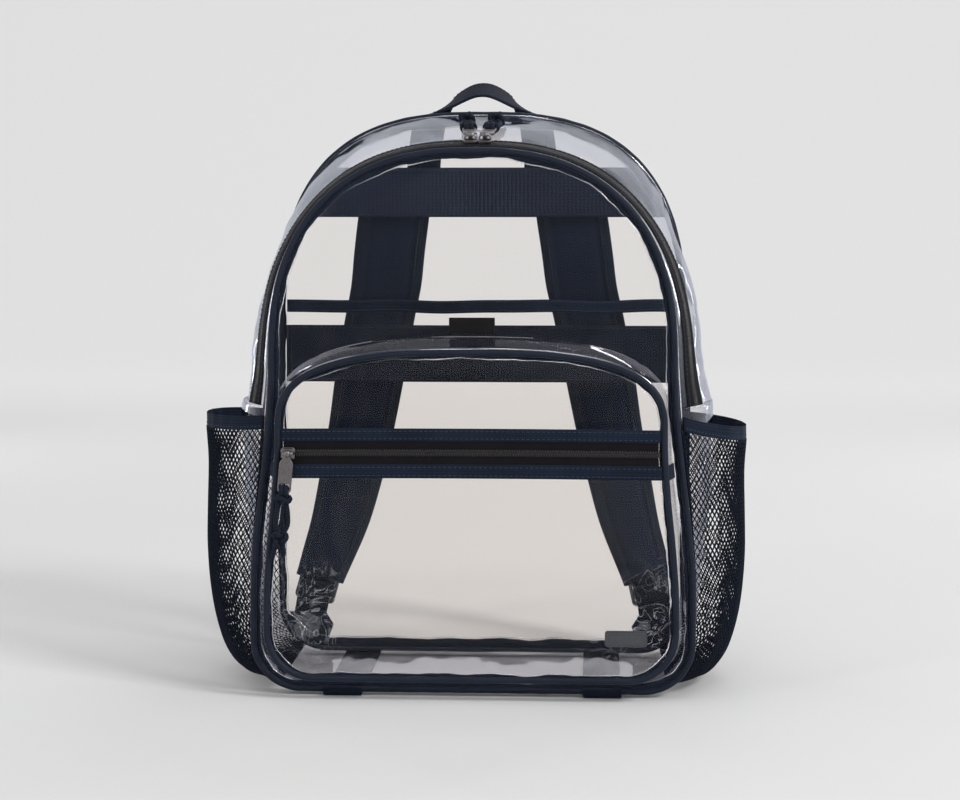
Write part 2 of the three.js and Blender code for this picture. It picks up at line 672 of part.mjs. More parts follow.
// Shoulder strap: rows down its length, as shares of its drop, spread, width, bow and padding
const strapRows = [
  { fall: 0, out: 0, width: 0.93, bow: 0, pad: 0.4 },
  { fall: 0.054, out: 0.04, width: 0.98, bow: 0, pad: 0.55 },
  { fall: 0.115, out: 0.078, width: 1, bow: 0.01, pad: 0.8 },
  { fall: 0.204, out: 0.14, width: 1, bow: 0.19, pad: 0.95 },
  { fall: 0.29, out: 0.195, width: 1, bow: 0.42, pad: 1 },
  { fall: 0.374, out: 0.29, width: 1, bow: 0.68, pad: 1 },
  { fall: 0.51, out: 0.42, width: 1, bow: 0.885, pad: 1 },
  { fall: 0.62, out: 0.515, width: 0.963, bow: 0.985, pad: 1 },
  { fall: 0.7, out: 0.594, width: 0.944, bow: 1, pad: 1 },
  { fall: 0.75, out: 0.648, width: 0.926, bow: 0.97, pad: 1 },
  { fall: 0.86, out: 0.773, width: 0.86, bow: 0.78, pad: 1 },
  { fall: 0.94, out: 0.9, width: 0.79, bow: 0.56, pad: 0.95 },
  { fall: 1, out: 1, width: 0.7, bow: 0.364, pad: 0.6 },
];
const padSection = [
  [0.5, 0.22], [0.43, 0.5], [-0.43, 0.5], [-0.5, 0.22],
  [-0.5, -0.22], [-0.43, -0.5], [0.43, -0.5], [0.5, -0.22],
];
const strapStand = filmWall / 2 + gap + yoke.wall + gap + webbingWall + gap;

// Face of the strap that is towards the bag, in the middle of its width
function strapSpot(row, side) {
  const x = side * THREE.MathUtils.lerp(strap.topX, strap.endX, row.out);
  const y = backY + THREE.MathUtils.lerp(strapStand, strap.bow, row.bow);
  return new THREE.Vector3(x, y, THREE.MathUtils.lerp(strapTop, strap.end, row.fall));
}

function strapBody(side) {
  const spots = strapRows.map((row) => strapSpot(row, side));
  const rings = strapRows.map((row, i) => {
    const before = spots[Math.max(i - 1, 0)];
    const after = spots[Math.min(i + 1, spots.length - 1)];
    const outwards = new THREE.Vector3(0, before.z - after.z, after.y - before.y).normalize();
    const thickness = strap.pad * row.pad;
    const centre = spots[i].clone().addScaledVector(outwards, thickness / 2);
    return padSection.map(([across, out]) => {
      const point = centre.clone().addScaledVector(outwards, out * thickness);
      point.x += across * strap.width * row.width;
      return point;
    });
  });
  const end = adjusterFrame(side);
  const endWidth = strap.width * strapRows[strapRows.length - 1].width;
  rings[rings.length - 1] = padSection.map(([across, out]) => {
    const point = end.padEnd.clone().addScaledVector(end.across, across * endWidth);
    return point.addScaledVector(end.out, out * end.padWall);
  });
  return loft(rings);
}

// Place and directions of the ladder-lock adjuster that hangs at a strap's end
function adjusterFrame(side) {
  const endRow = strapRows[strapRows.length - 1];
  const padEnd = strapSpot(endRow, side);
  const padWall = strap.pad * endRow.pad;
  padEnd.y += padWall / 2;
  const tabFace = backY + filmWall / 2 + gap + anchor.wall + gap + strapWeb.wall / 2;
  const anchorSpot = new THREE.Vector3(side * anchor.webX, tabFace, anchor.webHigh);
  const down = anchorSpot.clone().sub(padEnd).normalize();
  const across = new THREE.Vector3(1, 0, 0).addScaledVector(down, -down.x).normalize();
  const out = new THREE.Vector3().crossVectors(across, down);
  const centre = padEnd.clone().addScaledVector(down, adjuster.length / 2 + gap);
  return { padEnd, padWall, centre, down, across, out, tabFace };
}

function adjusterBody() {
  const slotWidth = strapWeb.width + 2 * strapWeb.side;
  const slotMiddle = adjuster.length / 2 - adjuster.bar - adjuster.slot / 2;
  const shape = new THREE.Shape(roundedRectangle(adjuster.width, adjuster.length, adjuster.round));
  for (const side of [1, -1]) {
    const slot = roundedRectangle(slotWidth, adjuster.slot, adjuster.slotRound, 0, side * slotMiddle);
    shape.holes.push(new THREE.Path(slot));
  }
  const body = new THREE.ExtrudeGeometry(shape, { depth: adjuster.wall, bevelEnabled: false });
  return body.translate(0, 0, -adjuster.wall / 2);
}

// Webbing from the anchor tab, up behind the adjuster, over its middle bar and down again as a tail
function strapWebbing(side) {
  const { centre, down, across, out, tabFace } = adjusterFrame(side);
  const flat = new THREE.Vector3(1, 0, 0);
  const at = (along, away) => centre.clone().addScaledVector(down, along).addScaledVector(out, away);
  const face = adjuster.wall / 2;
  const tailOut = face + gap + strapWeb.wall / 2;
  const leadOut = tailOut + strapWeb.wall + 2 * gap;
  const slotMiddle = adjuster.length / 2 - adjuster.bar - adjuster.slot / 2;
  const barHalf = slotMiddle - adjuster.slot / 2;
  const half = adjuster.length / 2;
  const low = new THREE.Vector3(side * anchor.webX, tabFace, anchor.webLow);
  const high = new THREE.Vector3(side * anchor.webX, tabFace, anchor.webHigh - webTurn.seat);
  const route = [
    { spot: low, across: flat },
    { spot: high, across: flat },
    { spot: at(half, -leadOut), across },
    { spot: at(0, -leadOut), across },
    { spot: at(-slotMiddle + webTurn.upAlong, -leadOut + webTurn.upOut), across },
    { spot: at(-slotMiddle, -face), across },
    { spot: at(-slotMiddle, face), across },
    { spot: at(-barHalf, tailOut), across },
    { spot: at(barHalf, tailOut), across },
    { spot: at(slotMiddle, face), across },
    { spot: at(slotMiddle, -face + webTurn.downOut), across },
    { spot: at(slotMiddle + webTurn.underAlong, -tailOut + webTurn.underOut), across },
    { spot: at(half + webLeave.along, -tailOut), across },
    { spot: at(half + webLeave.tailAlong, -tailOut + webLeave.tailOut), across },
    { spot: at(half + strapWeb.tail, strapWeb.tailOut), across },
  ];
  return webbing(route.map(({ spot }) => spot), route.map((row) => row.across), strapWeb.width, strapWeb.wall);
}

function anchorOutline(side) {
  const outline = [];
  for (let station = stations.bottom; station <= stations.corner; station += 1) {
    const spot = seamPoint(backSeam, station, anchor.inset);
    outline.push(new THREE.Vector2(side * spot.x, Math.min(spot.z, anchor.top)));
  }
  outline.push(new THREE.Vector2(side * (anchor.left + anchorCut.across), anchor.top));
  outline.push(new THREE.Vector2(side * anchor.left, anchor.top - anchorCut.down));
  return outline;
}

function makeBack() {
  const face = backY + filmWall / 2 + gap;
  const yokeShape = bandOutline(backSeam, yoke.inset, yokeBottom, yokeBottom + yoke.height);
  add('yoke', uprightSheet(yokeShape, face, yoke.wall), 'navyWebbing');
  const bandTop = luggageBand.bottom + luggageBand.height;
  const bandShape = bandOutline(backSeam, yoke.inset, luggageBand.bottom, bandTop);
  add('luggage_band', uprightSheet(bandShape, face, luggageBand.wall), 'navyWebbing');
  makeHandle();
  for (const [name, side] of [['left', -1], ['right', 1]]) {
    add(`shoulder_strap_${name}`, strapBody(side), 'navyWebbing');
    add(`strap_webbing_${name}`, strapWebbing(side), 'navyWebbing');
    add(`strap_anchor_${name}`, uprightSheet(anchorOutline(side), face, anchor.wall), 'navyBinding');
    const { centre, down, across, out } = adjusterFrame(side);
    const mesh = add(`strap_adjuster_${name}`, adjusterBody(), 'plastic');
    const turn = new THREE.Matrix4().makeBasis(across.clone().negate(), down.clone().negate(), out);
    mesh.quaternion.setFromRotationMatrix(turn);
    mesh.position.copy(centre);
  }
}

// Base webbing: under the bag from front to back, with both ends turned up over the piping
function makeBaseWebbings() {
  const innerY = backY + piping.radius + gap;
  const outerY = innerY + webbingWall;
  const up = baseWebbing.turnUp;
  const outer = [[-outerY, up], [-outerY, 0], [outerY, 0], [outerY, up]];
  const inner = [[-innerY, up], [-innerY, webbingWall], [innerY, webbingWall], [innerY, up]];
  for (const [name, side] of [['left', -1], ['right', 1]]) {
    const rows = (line) => line.map(([y, z]) => [-1, 1].map((edge) => {
      const x = side * baseWebbing.x + (edge * baseWebbing.width) / 2;
      return new THREE.Vector3(x, y, z);
    }));
    add(`base_webbing_${name}`, doubleSheet(rows(outer), rows(inner)), 'navyWebbing');
  }
}

// Side pocket of net: rows from the gusset's corner up to the rim, at the pocket's middle depth
const netRows = [
  { rise: 0, out: 0, up: 0 },
  { rise: 0.08, out: 0.18, up: 0.02 },
  { rise: 0.19, out: 0.55, up: 0.045 },
  { rise: 0.3, out: 0.75, up: 0.11 },
  { rise: 0.43, out: 0.88, up: 0.22 },
  { rise: 0.55, out: 0.96, up: 0.355 },
  { rise: 0.68, out: 1, up: 0.53 },
  { rise: 0.8, out: 1, up: 0.7 },
  { rise: 0.91, out: 0.985, up: 0.87 },
  { rise: 1, out: 0.95, up: 1 },
];

function pocketGrid(side, drop, rows, extra, offset) {
  const columns = 6;
  const edge = piping.radius + 2 * gap + netWall / 2;
  const standOff = filmWall / 2 + gap + offset;
  const footX = bagSkin(meshPocket.foot, 0, standOff).x;
  return rows.map((row) => {
    const line = [];
    for (let j = 0; j <= columns; j += 1) {
      const share = j / columns;
      const y = THREE.MathUtils.lerp(frontY + edge, backY - edge, share);
      const rimTop = THREE.MathUtils.lerp(meshPocket.frontRim, meshPocket.backRim, share);
      const top = stationAt(frontSeam, rimTop - meshPocket.rim - gap);
      const station = THREE.MathUtils.lerp(meshPocket.foot, top, row.rise);
      const seat = bagSkin(station, y, standOff);
      const middle = bagSkin(station, 0, standOff);
      const outX = THREE.MathUtils.lerp(footX, meshPocket.reach, row.out);
      const fullZ = (meshPocket.height - drop) * row.up;
      const outZ = THREE.MathUtils.lerp(middle.z, fullZ, Math.min(row.out * 5, 1));
      const bow = Math.sin(Math.PI * share) ** 0.75;
      const x = seat.x + Math.max(outX - middle.x, 0) * bow;
      const z = seat.z + (outZ - middle.z) * bow + extra;
      line.push(new THREE.Vector3(side * x, y, z));
    }
    return line;
  });
}

function makeMeshPockets() {
  for (const [name, side] of [['left', -1], ['right', 1]]) {
    const drop = rimDrop[name];
    const net = pocketGrid(side, drop, netRows, 0, netWall / 2);
    add(`mesh_pocket_${name}`, netSheet(...thicken(net, netWall), netHole), 'net');
    const top = netRows.slice(-1);
    const low = pocketGrid(side, drop, top, gap, meshPocket.rimWall / 2);
    const high = pocketGrid(side, drop, top, gap + meshPocket.rim, meshPocket.rimWall / 2);
    const rim = thicken([...low, ...high], meshPocket.rimWall);
    add(`mesh_rim_${name}`, doubleSheet(...rim), 'navyBinding');
  }
}

// Slider: a plate over the coil with lips beside it, and a bridge that the puller's eye hangs on
function sliderBody(zip) {
  const coilFace = zip.coilWall / 2;
  const plateIn = coilFace + gap;
  const plateOut = plateIn + slider.plate;
  const lipMiddle = zip.coil / 2 + gap + slider.lip / 2;
  const lipIn = tapeWall / 2 + gap;
  const lipDepth = plateOut - lipIn;
  const width = 2 * lipMiddle + slider.lip;
  const postTop = slider.barOut + slider.bar / 2;
  const postDepth = postTop - plateIn;
  const parts = [block(slider.length, slider.plate, width, 0, -(plateIn + plateOut) / 2, 0)];
  for (const side of [1, -1]) {
    parts.push(block(slider.length, lipDepth, slider.lip, 0, -(lipIn + lipDepth / 2), side * lipMiddle));
    parts.push(block(slider.post, postDepth, slider.bar, side * slider.postX, -(postTop - postDepth / 2), 0));
  }
  parts.push(block(2 * slider.postX + slider.post, slider.bar, slider.bar, 0, -slider.barOut, 0));
  return fuse(parts);
}

// Puller: an eye round the slider's bridge, and a plate with a window for the cord
function pullerBody() {
  const outer = puller.eye + puller.eyeWall;
  const eye = new THREE.Shape().absarc(0, 0, outer, 0, 2 * Math.PI);
  eye.holes.push(new THREE.Path().absarc(0, 0, puller.eye, 0, 2 * Math.PI));
  const eyeOptions = { depth: puller.eyeWidth, bevelEnabled: false, curveSegments: 6 };
  const ring = new THREE.ExtrudeGeometry(eye, eyeOptions);
  ring.translate(0, 0, -puller.eyeWidth / 2).rotateY(Math.PI / 2);
  const half = puller.width / 2;
  const neckTop = -(puller.eye + puller.eyeWall / 2);
  const shoulder = neckTop - pullerCut.neck;
  const { round } = pullerCut;
  const plate = [
    [-puller.eyeWidth / 2, neckTop], [-half, shoulder], [-half, -puller.length + round],
    [-half + round, -puller.length], [half - round, -puller.length], [half, -puller.length + round],
    [half, shoulder], [puller.eyeWidth / 2, neckTop],
  ];
  const windowMiddle = -puller.length + pullBar + puller.window / 2;
  const windowWidth = 4 * pullCord.radius + 2 * pullerCut.windowSide;
  const window = roundedRectangle(windowWidth, puller.window, pullerCut.windowRound, 0, windowMiddle);
  const outline = plate.map(([x, z]) => new THREE.Vector2(x, z));
  const body = fuse([ring, uprightSheet(outline, -puller.wall / 2, puller.wall, [window])]);
  return body.translate(0, -slider.barOut, 0);
}

// Routes of a pull cord's two strands and two tails, hanging from the puller
const cordRoutes = {
  leftStrand: [[-2, -5.8, -33], [-4.6, -5.4, -41], [-4.2, -5.2, -49], [-1.5, -6.6, -57]],
  rightStrand: [[2, -5.8, -33], [3.6, -5.6, -42], [4.4, -5.2, -50], [1.5, -6.6, -57]],
  leftTail: [[-2, -7, -60], [-4, -6.2, -66], [-4.5, -5, -74]],
  rightTail: [[2, -7, -60], [3.4, -6.4, -65], [3.2, -5, -71]],
  knot: [0, -7, -59],
  ringX: 1.55,
};

function cordBody() {
  const { radius } = pullCord;
  const barMiddle = -puller.length + pullBar / 2;
  const ringRadius = radius + pullCord.loop;
  const rings = [1, -1].map((side) => {
    const ring = new THREE.TorusGeometry(ringRadius, radius, 6, 8).rotateY(Math.PI / 2);
    return ring.translate(side * cordRoutes.ringX, -slider.barOut, barMiddle);
  });
  const hitchTop = -puller.length - 2 * gap;
  const hitchZ = hitchTop - pullCord.hitch / 2;
  return fuse([
    ...rings,
    ball(pullCord.hitchWidth, pullCord.hitch, pullCord.hitch, 0, -slider.barOut, hitchZ),
    ball(pullCord.knot, pullCord.knot, pullCord.knot, ...cordRoutes.knot),
    tube(cordRoutes.leftStrand, radius, 4),
    tube(cordRoutes.rightStrand, radius, 4),
    tube(cordRoutes.leftTail, radius, 2),
    tube(cordRoutes.rightTail, radius, 2),
  ]);
}

// A slider with its puller and cord; the puller swings a little to one side
function addPull(prefix, suffix, zip, swing) {
  const pull = new THREE.Group();
  add(`${prefix}_slider${suffix}`, sliderBody(zip), 'gunmetal', pull);
  const hanging = new THREE.Group();
  hanging.rotation.y = swing;
  add(`${prefix}_puller${suffix}`, pullerBody(), 'gunmetal', hanging);
  add(`${prefix}_pull_cord${suffix}`, cordBody(), 'navyWebbing', hanging);
  pull.add(hanging);
  bag.add(pull);
  return pull;
}

function makePulls() {
  const pocketPull = addPull('pocket', '', pocketZip, pocketPullSwing);
  const zipEnd = halfAt(pocketSeam, pocketZip.middle, panelInset);
  pocketPull.position.set(-(zipEnd - gap - slider.length / 2), pocketY, pocketZip.middle);
  const topZ = (y) => bagSkin(halfTurn, y, 0).z;
  const slope = Math.atan2(topZ(backY) - topZ(frontY), bagDepth);
  const zipY = frontY + mainZip.middle;
  for (const [suffix, side] of [['_left', -1], ['_right', 1]]) {
    const pull = addPull('main', suffix, mainZip, side * mainZip.fan);
    const x = mainZip.meetingX + side * (slider.length / 2 + gap);
    pull.rotation.set(-Math.PI / 2 - slope, 0, Math.PI, 'ZYX');
    pull.position.set(x, zipY, topZ(zipY));
  }
}

makeMainCompartment();
makePocket();
makeLabels();
makeSleeve();
makeBack();
makeBaseWebbings();
makeMeshPockets();
makePulls();

// The origin lies under the middle of everything but the cords
bag.updateMatrixWorld(true);
const bounds = new THREE.Box3();
bag.traverse((piece) => {
  if (piece.isMesh && !piece.name.includes('cord')) {
    bounds.expandByObject(piece, true);
  }
});
bag.position.set(-(bounds.min.x + bounds.max.x) / 2, -(bounds.min.y + bounds.max.y) / 2, -bounds.min.z);

export default bag;
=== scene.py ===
# Clear stadium backpack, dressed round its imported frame.
# The helpers work in millimetres, in the frame's own axes; meshes are made in metres.
import math

import bmesh
import bpy
import numpy as np
from mathutils import Matrix, Vector


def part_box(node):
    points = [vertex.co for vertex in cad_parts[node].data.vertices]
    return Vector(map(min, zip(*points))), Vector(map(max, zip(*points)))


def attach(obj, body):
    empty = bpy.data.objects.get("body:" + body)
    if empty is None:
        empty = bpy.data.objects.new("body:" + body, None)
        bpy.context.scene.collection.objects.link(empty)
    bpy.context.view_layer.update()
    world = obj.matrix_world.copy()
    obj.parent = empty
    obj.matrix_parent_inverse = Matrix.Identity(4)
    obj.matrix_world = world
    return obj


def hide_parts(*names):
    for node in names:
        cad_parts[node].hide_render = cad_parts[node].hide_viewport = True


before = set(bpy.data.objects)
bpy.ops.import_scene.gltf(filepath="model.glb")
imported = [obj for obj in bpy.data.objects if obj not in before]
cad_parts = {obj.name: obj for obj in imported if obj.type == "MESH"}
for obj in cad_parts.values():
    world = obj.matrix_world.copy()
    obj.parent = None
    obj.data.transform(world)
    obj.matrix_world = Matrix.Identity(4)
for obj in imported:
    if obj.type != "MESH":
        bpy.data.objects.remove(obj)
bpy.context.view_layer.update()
metre = 1000.0  # millimetres in a metre


def nodeBox(node):
    low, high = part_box(node)
    return np.array(low) * metre, np.array(high) * metre


def nodeMiddle(node, axis):
    low, high = nodeBox(node)
    return (low[axis] + high[axis]) / 2


def lerp(low, high, share):
    return low + (high - low) * share


# Distance run along a line of points
def runAlong(line):
    return np.concatenate([[0], np.cumsum(np.linalg.norm(np.diff(line, axis=0), axis=1))])


# Mean distance run over a grid, up its rows (0) or across its columns (1)
def gridRun(grid, axis):
    steps = np.linalg.norm(np.diff(grid, axis=axis), axis=2).mean(1 - axis)
    return np.concatenate([[0], np.cumsum(steps)])


def fullTurn(sides):
    return np.arange(sides) / sides * 2 * math.pi


# Camera, at the photo's angle

camera = {"lens": 81.7, "spot": (0.081, -1.5803, 0.347), "tilt": 84.73, "turn": 2.88}


def makeCamera():
    data = bpy.data.cameras.new("camera")
    data.lens = camera["lens"]
    data.sensor_width = 36
    data.clip_end = 50
    piece = bpy.data.objects.new("camera", data)
    piece.location = camera["spot"]
    piece.rotation_euler = (math.radians(camera["tilt"]), 0, math.radians(camera["turn"]))
    bpy.context.scene.collection.objects.link(piece)
    bpy.context.scene.camera = piece


makeCamera()
print("camera placed")

# Seams: the outlines that the whole bag is sewn along

# stations count round a seam from its lowest middle: where each part of the outline ends
stations = {"bottom": 2, "corner": 6, "split": 9, "spring": 11, "top": 19}
wrap = 2 * stations["top"]
gap = 0.3  # kept between touching pieces, as in the frame
backY = nodeMiddle("back_panel", 1)
frontY = nodeMiddle("front_panel", 1)
pocketY = nodeMiddle("pocket_panel_lower", 1)
middleY = (frontY + backY) / 2
bagDepth = backY - frontY
pocketDepth = frontY - pocketY
piping = {"radius": 2.2, "bindingWall": 0.9, "mainBinding": 10, "pocketBinding": 8}
panelInset = 2 * piping["radius"] + gap
filmStart = piping["radius"] + gap
sideBulge = 24
filmWall = 1.0

frontPipingNodes = ["front_piping_left", "front_piping_right", "front_piping_arch"]
backPipingHigh = nodeBox("back_piping")[1]
seamBottom = nodeBox("front_piping_right")[0][2]
frontSeam = {
    "bottom": seamBottom, "corner": 36, "lean": 60, "split": 203, "top": nodeBox("front_piping_arch")[1][2],
    "lowHalf": nodeBox("front_piping_right")[1][0], "springHalf": 142, "spring": 235, "power": 2.4,
}
backSeam = {
    **frontSeam, "top": backPipingHigh[2], "lowHalf": 155, "springHalf": 153.5, "spring": 250, "power": 2.7,
}


def sideHalf(seam, z):
    share = np.clip((z - seam["lean"]) / (seam["spring"] - seam["lean"]), 0, 1)
    return lerp(seam["lowHalf"], seam["springHalf"], (1 - np.cos(math.pi * share)) / 2)


def seamSpot(seam, station):
    bottom, corner, split, spring, top = stations.values()
    wrapped = np.mod(np.asarray(station, float), wrap)
    s = np.minimum(wrapped, wrap - wrapped)
    cornerTop = seam["bottom"] + seam["corner"]
    flatHalf = seam["lowHalf"] - seam["corner"]
    turn = np.clip((s - bottom) / (corner - bottom), 0, 1) * math.pi / 2
    lowSide = lerp(cornerTop, seam["split"], (s - corner) / (split - corner))
    highSide = lerp(seam["split"], seam["spring"], (s - split) / (spring - split))
    sideZ = np.where(s <= split, lowSide, highSide)
    arch = np.clip((s - spring) / (top - spring), 0, 1) * math.pi / 2
    bend = 2 / seam["power"]
    archX = seam["springHalf"] * np.maximum(np.cos(arch), 0) ** bend
    archZ = seam["spring"] + (seam["top"] - seam["spring"]) * np.sin(arch) ** bend
    cornerX = flatHalf + seam["corner"] * np.sin(turn)
    cornerZ = cornerTop - seam["corner"] * np.cos(turn)
    parts = [s <= bottom, s <= corner, s <= spring]
    x = np.select(parts, [flatHalf * s / bottom, cornerX, sideHalf(seam, sideZ)], archX)
    z = np.select(parts, [seam["bottom"] + 0 * s, cornerZ, sideZ], archZ)
    return np.where(wrapped <= top, x, -x), z


def seamPoint(seam, station, inset=0.0):
    step = 0.01
    x, z = seamSpot(seam, station)
    fromX, fromZ = seamSpot(seam, np.asarray(station, float) - step)
    toX, toZ = seamSpot(seam, np.asarray(station, float) + step)
    length = np.hypot(toX - fromX, toZ - fromZ)
    nx = (toZ - fromZ) / length
    nz = (fromX - toX) / length
    return x - inset * nx, z - inset * nz, nx, nz


def stationAt(seam, z):
    cornerTop = seam["bottom"] + seam["corner"]
    low = lerp(stations["corner"], stations["split"], (z - cornerTop) / (seam["split"] - cornerTop))
    high = lerp(stations["split"], stations["spring"], (z - seam["split"]) / (seam["spring"] - seam["split"]))
    return np.where(z <= seam["split"], low, high)


def evenStations(seam, start, end, step):
    dense = np.linspace(start, end, 3000)
    run = runAlong(np.stack(seamSpot(seam, dense), 1))
    count = max(int(round(run[-1] / step)), 2)
    return np.interp(np.linspace(0, run[-1], count + 1), run, dense)


# Rows up the inside of a seam: each height with half its width
def seamRows(seam, inset, step, low=None, high=None):
    s = evenStations(seam, stations["bottom"], stations["top"] - 0.05, step)
    half, z, _, _ = seamPoint(seam, s, inset)
    least = 0.4  # between a cut row and the next
    if low is not None:
        keep = z > low + least
        half = np.append(halfAt(seam, low, inset), half[keep])
        z = np.append(low, z[keep])
    if high is not None:
        keep = z < high - least
        half = np.append(half[keep], halfAt(seam, high, inset))
        z = np.append(z[keep], high)
    return z, half


# Half the width inside a seam, at a height
def halfAt(seam, z, inset):
    dense = np.linspace(stations["bottom"], stations["top"], 4000)
    half, height, _, _ = seamPoint(seam, dense, inset)
    order = np.argsort(height)
    return np.interp(z, height[order], half[order])


# A smooth value between the rows of a table
def tableValue(rows, key, at, column):
    xs = np.array([row[key] for row in rows], float)
    ys = np.array([row[column] for row in rows], float)
    slopes = np.empty_like(ys)
    slopes[1:-1] = (ys[2:] - ys[:-2]) / (xs[2:] - xs[:-2])
    slopes[0] = (ys[1] - ys[0]) / (xs[1] - xs[0])
    slopes[-1] = (ys[-1] - ys[-2]) / (xs[-1] - xs[-2])
    at = np.asarray(at, float)
    i = np.clip(np.searchsorted(xs, at) - 1, 0, len(xs) - 2)
    span = xs[i + 1] - xs[i]
    t = np.clip((at - xs[i]) / span, 0, 1)
    start = (1 + 2 * t) * (1 - t) ** 2 * ys[i] + t * (1 - t) ** 2 * span * slopes[i]
    end = t * t * (3 - 2 * t) * ys[i + 1] + t * t * (t - 1) * span * slopes[i + 1]
    return start + end


# how far the gusset swells sideways, up the bag's height
swell = [
    {"up": 0, "out": 0}, {"up": 0.09, "out": 0.1}, {"up": 0.25, "out": 0.55}, {"up": 0.46, "out": 1},
    {"up": 0.55, "out": 0.75}, {"up": 0.66, "out": 0.5}, {"up": 0.72, "out": 0.4}, {"up": 0.85, "out": 0.15},
    {"up": 1, "out": 0},
]


# The gusset film's middle, anywhere round the bag and through its depth
def bagSkin(station, y, offset):
    station, y, offset = np.broadcast_arrays(*(np.asarray(value, float) for value in (station, y, offset)))
    share = (y - frontY) / bagDepth
    fx, fz, fnx, fnz = seamPoint(frontSeam, station, piping["radius"])
    bx, bz, bnx, bnz = seamPoint(backSeam, station, piping["radius"])
    nx, nz = lerp(fnx, bnx, share), lerp(fnz, bnz, share)
    z = lerp(fz, bz, share)
    belly = sideBulge * tableValue(swell, "up", z / backSeam["top"], "out") * 4 * share * (1 - share)
    x = lerp(fx, bx, share) + belly * nx * np.abs(nx)
    length = np.hypot(nx, nz)
    return np.stack([x + offset * nx / length, y, z + offset * nz / length], -1)


pocketSpring = 190
footInset = 6
pocketZip = {"middle": 173.4}
pocketZipLow = nodeBox("pocket_zipper_binding_lower")[0][2]
# where the pocket's gusset meets the bag, and the pocket's own piped seam
footSeam = {
    "bottom": seamBottom + footInset, "top": 253, "lean": 60,
    "lowHalf": frontSeam["lowHalf"] - footInset, "springHalf": sideHalf(frontSeam, pocketSpring) - footInset,
    "split": pocketZipLow, "spring": pocketSpring, "corner": 36, "power": 2.8,
}
pocketSeam = {
    **footSeam, "bottom": footSeam["bottom"] + 6, "top": 245, "corner": 35,
    "lowHalf": footSeam["lowHalf"] - 6.5, "springHalf": footSeam["springHalf"] - 3.5,
}


# The pocket gusset film's middle, from the pocket's face back to the bag
def pocketSkin(station, y, offset):
    station, y, offset = np.broadcast_arrays(*(np.asarray(value, float) for value in (station, y, offset)))
    share = (y - pocketY) / pocketDepth
    fx, fz, fnx, fnz = seamPoint(pocketSeam, station, piping["radius"])
    bx, bz, bnx, bnz = seamPoint(footSeam, station)
    nx, nz = lerp(fnx, bnx, share), lerp(fnz, bnz, share)
    length = np.hypot(nx, nz)
    x, z = lerp(fx, bx, share), lerp(fz, bz, share)
    return np.stack([x + offset * nx / length, y, z + offset * nz / length], -1)


# Materials

def toLinear(colour):
    channels = [int(colour[i:i + 2], 16) / 255 for i in (1, 3, 5)]
    return [c / 12.92 if c <= 0.04045 else ((c + 0.055) / 1.055) ** 2.4 for c in channels] + [1.0]


def addNode(tree, kind, inputs=None, **settings):
    node = tree.nodes.new(kind)
    for key, value in settings.items():
        setattr(node, key, value)
    for socket, value in (inputs or {}).items():
        if isinstance(value, bpy.types.NodeSocket):
            tree.links.new(value, node.inputs[socket])
        else:
            node.inputs[socket].default_value = value
    return node


def newTree(name):
    material = bpy.data.materials.new(name)
    material.use_nodes = True
    material.node_tree.nodes.clear()
    return material, material.node_tree


waveUnit = 2 * math.pi / 20  # a wave texture's scale for a period of one unit

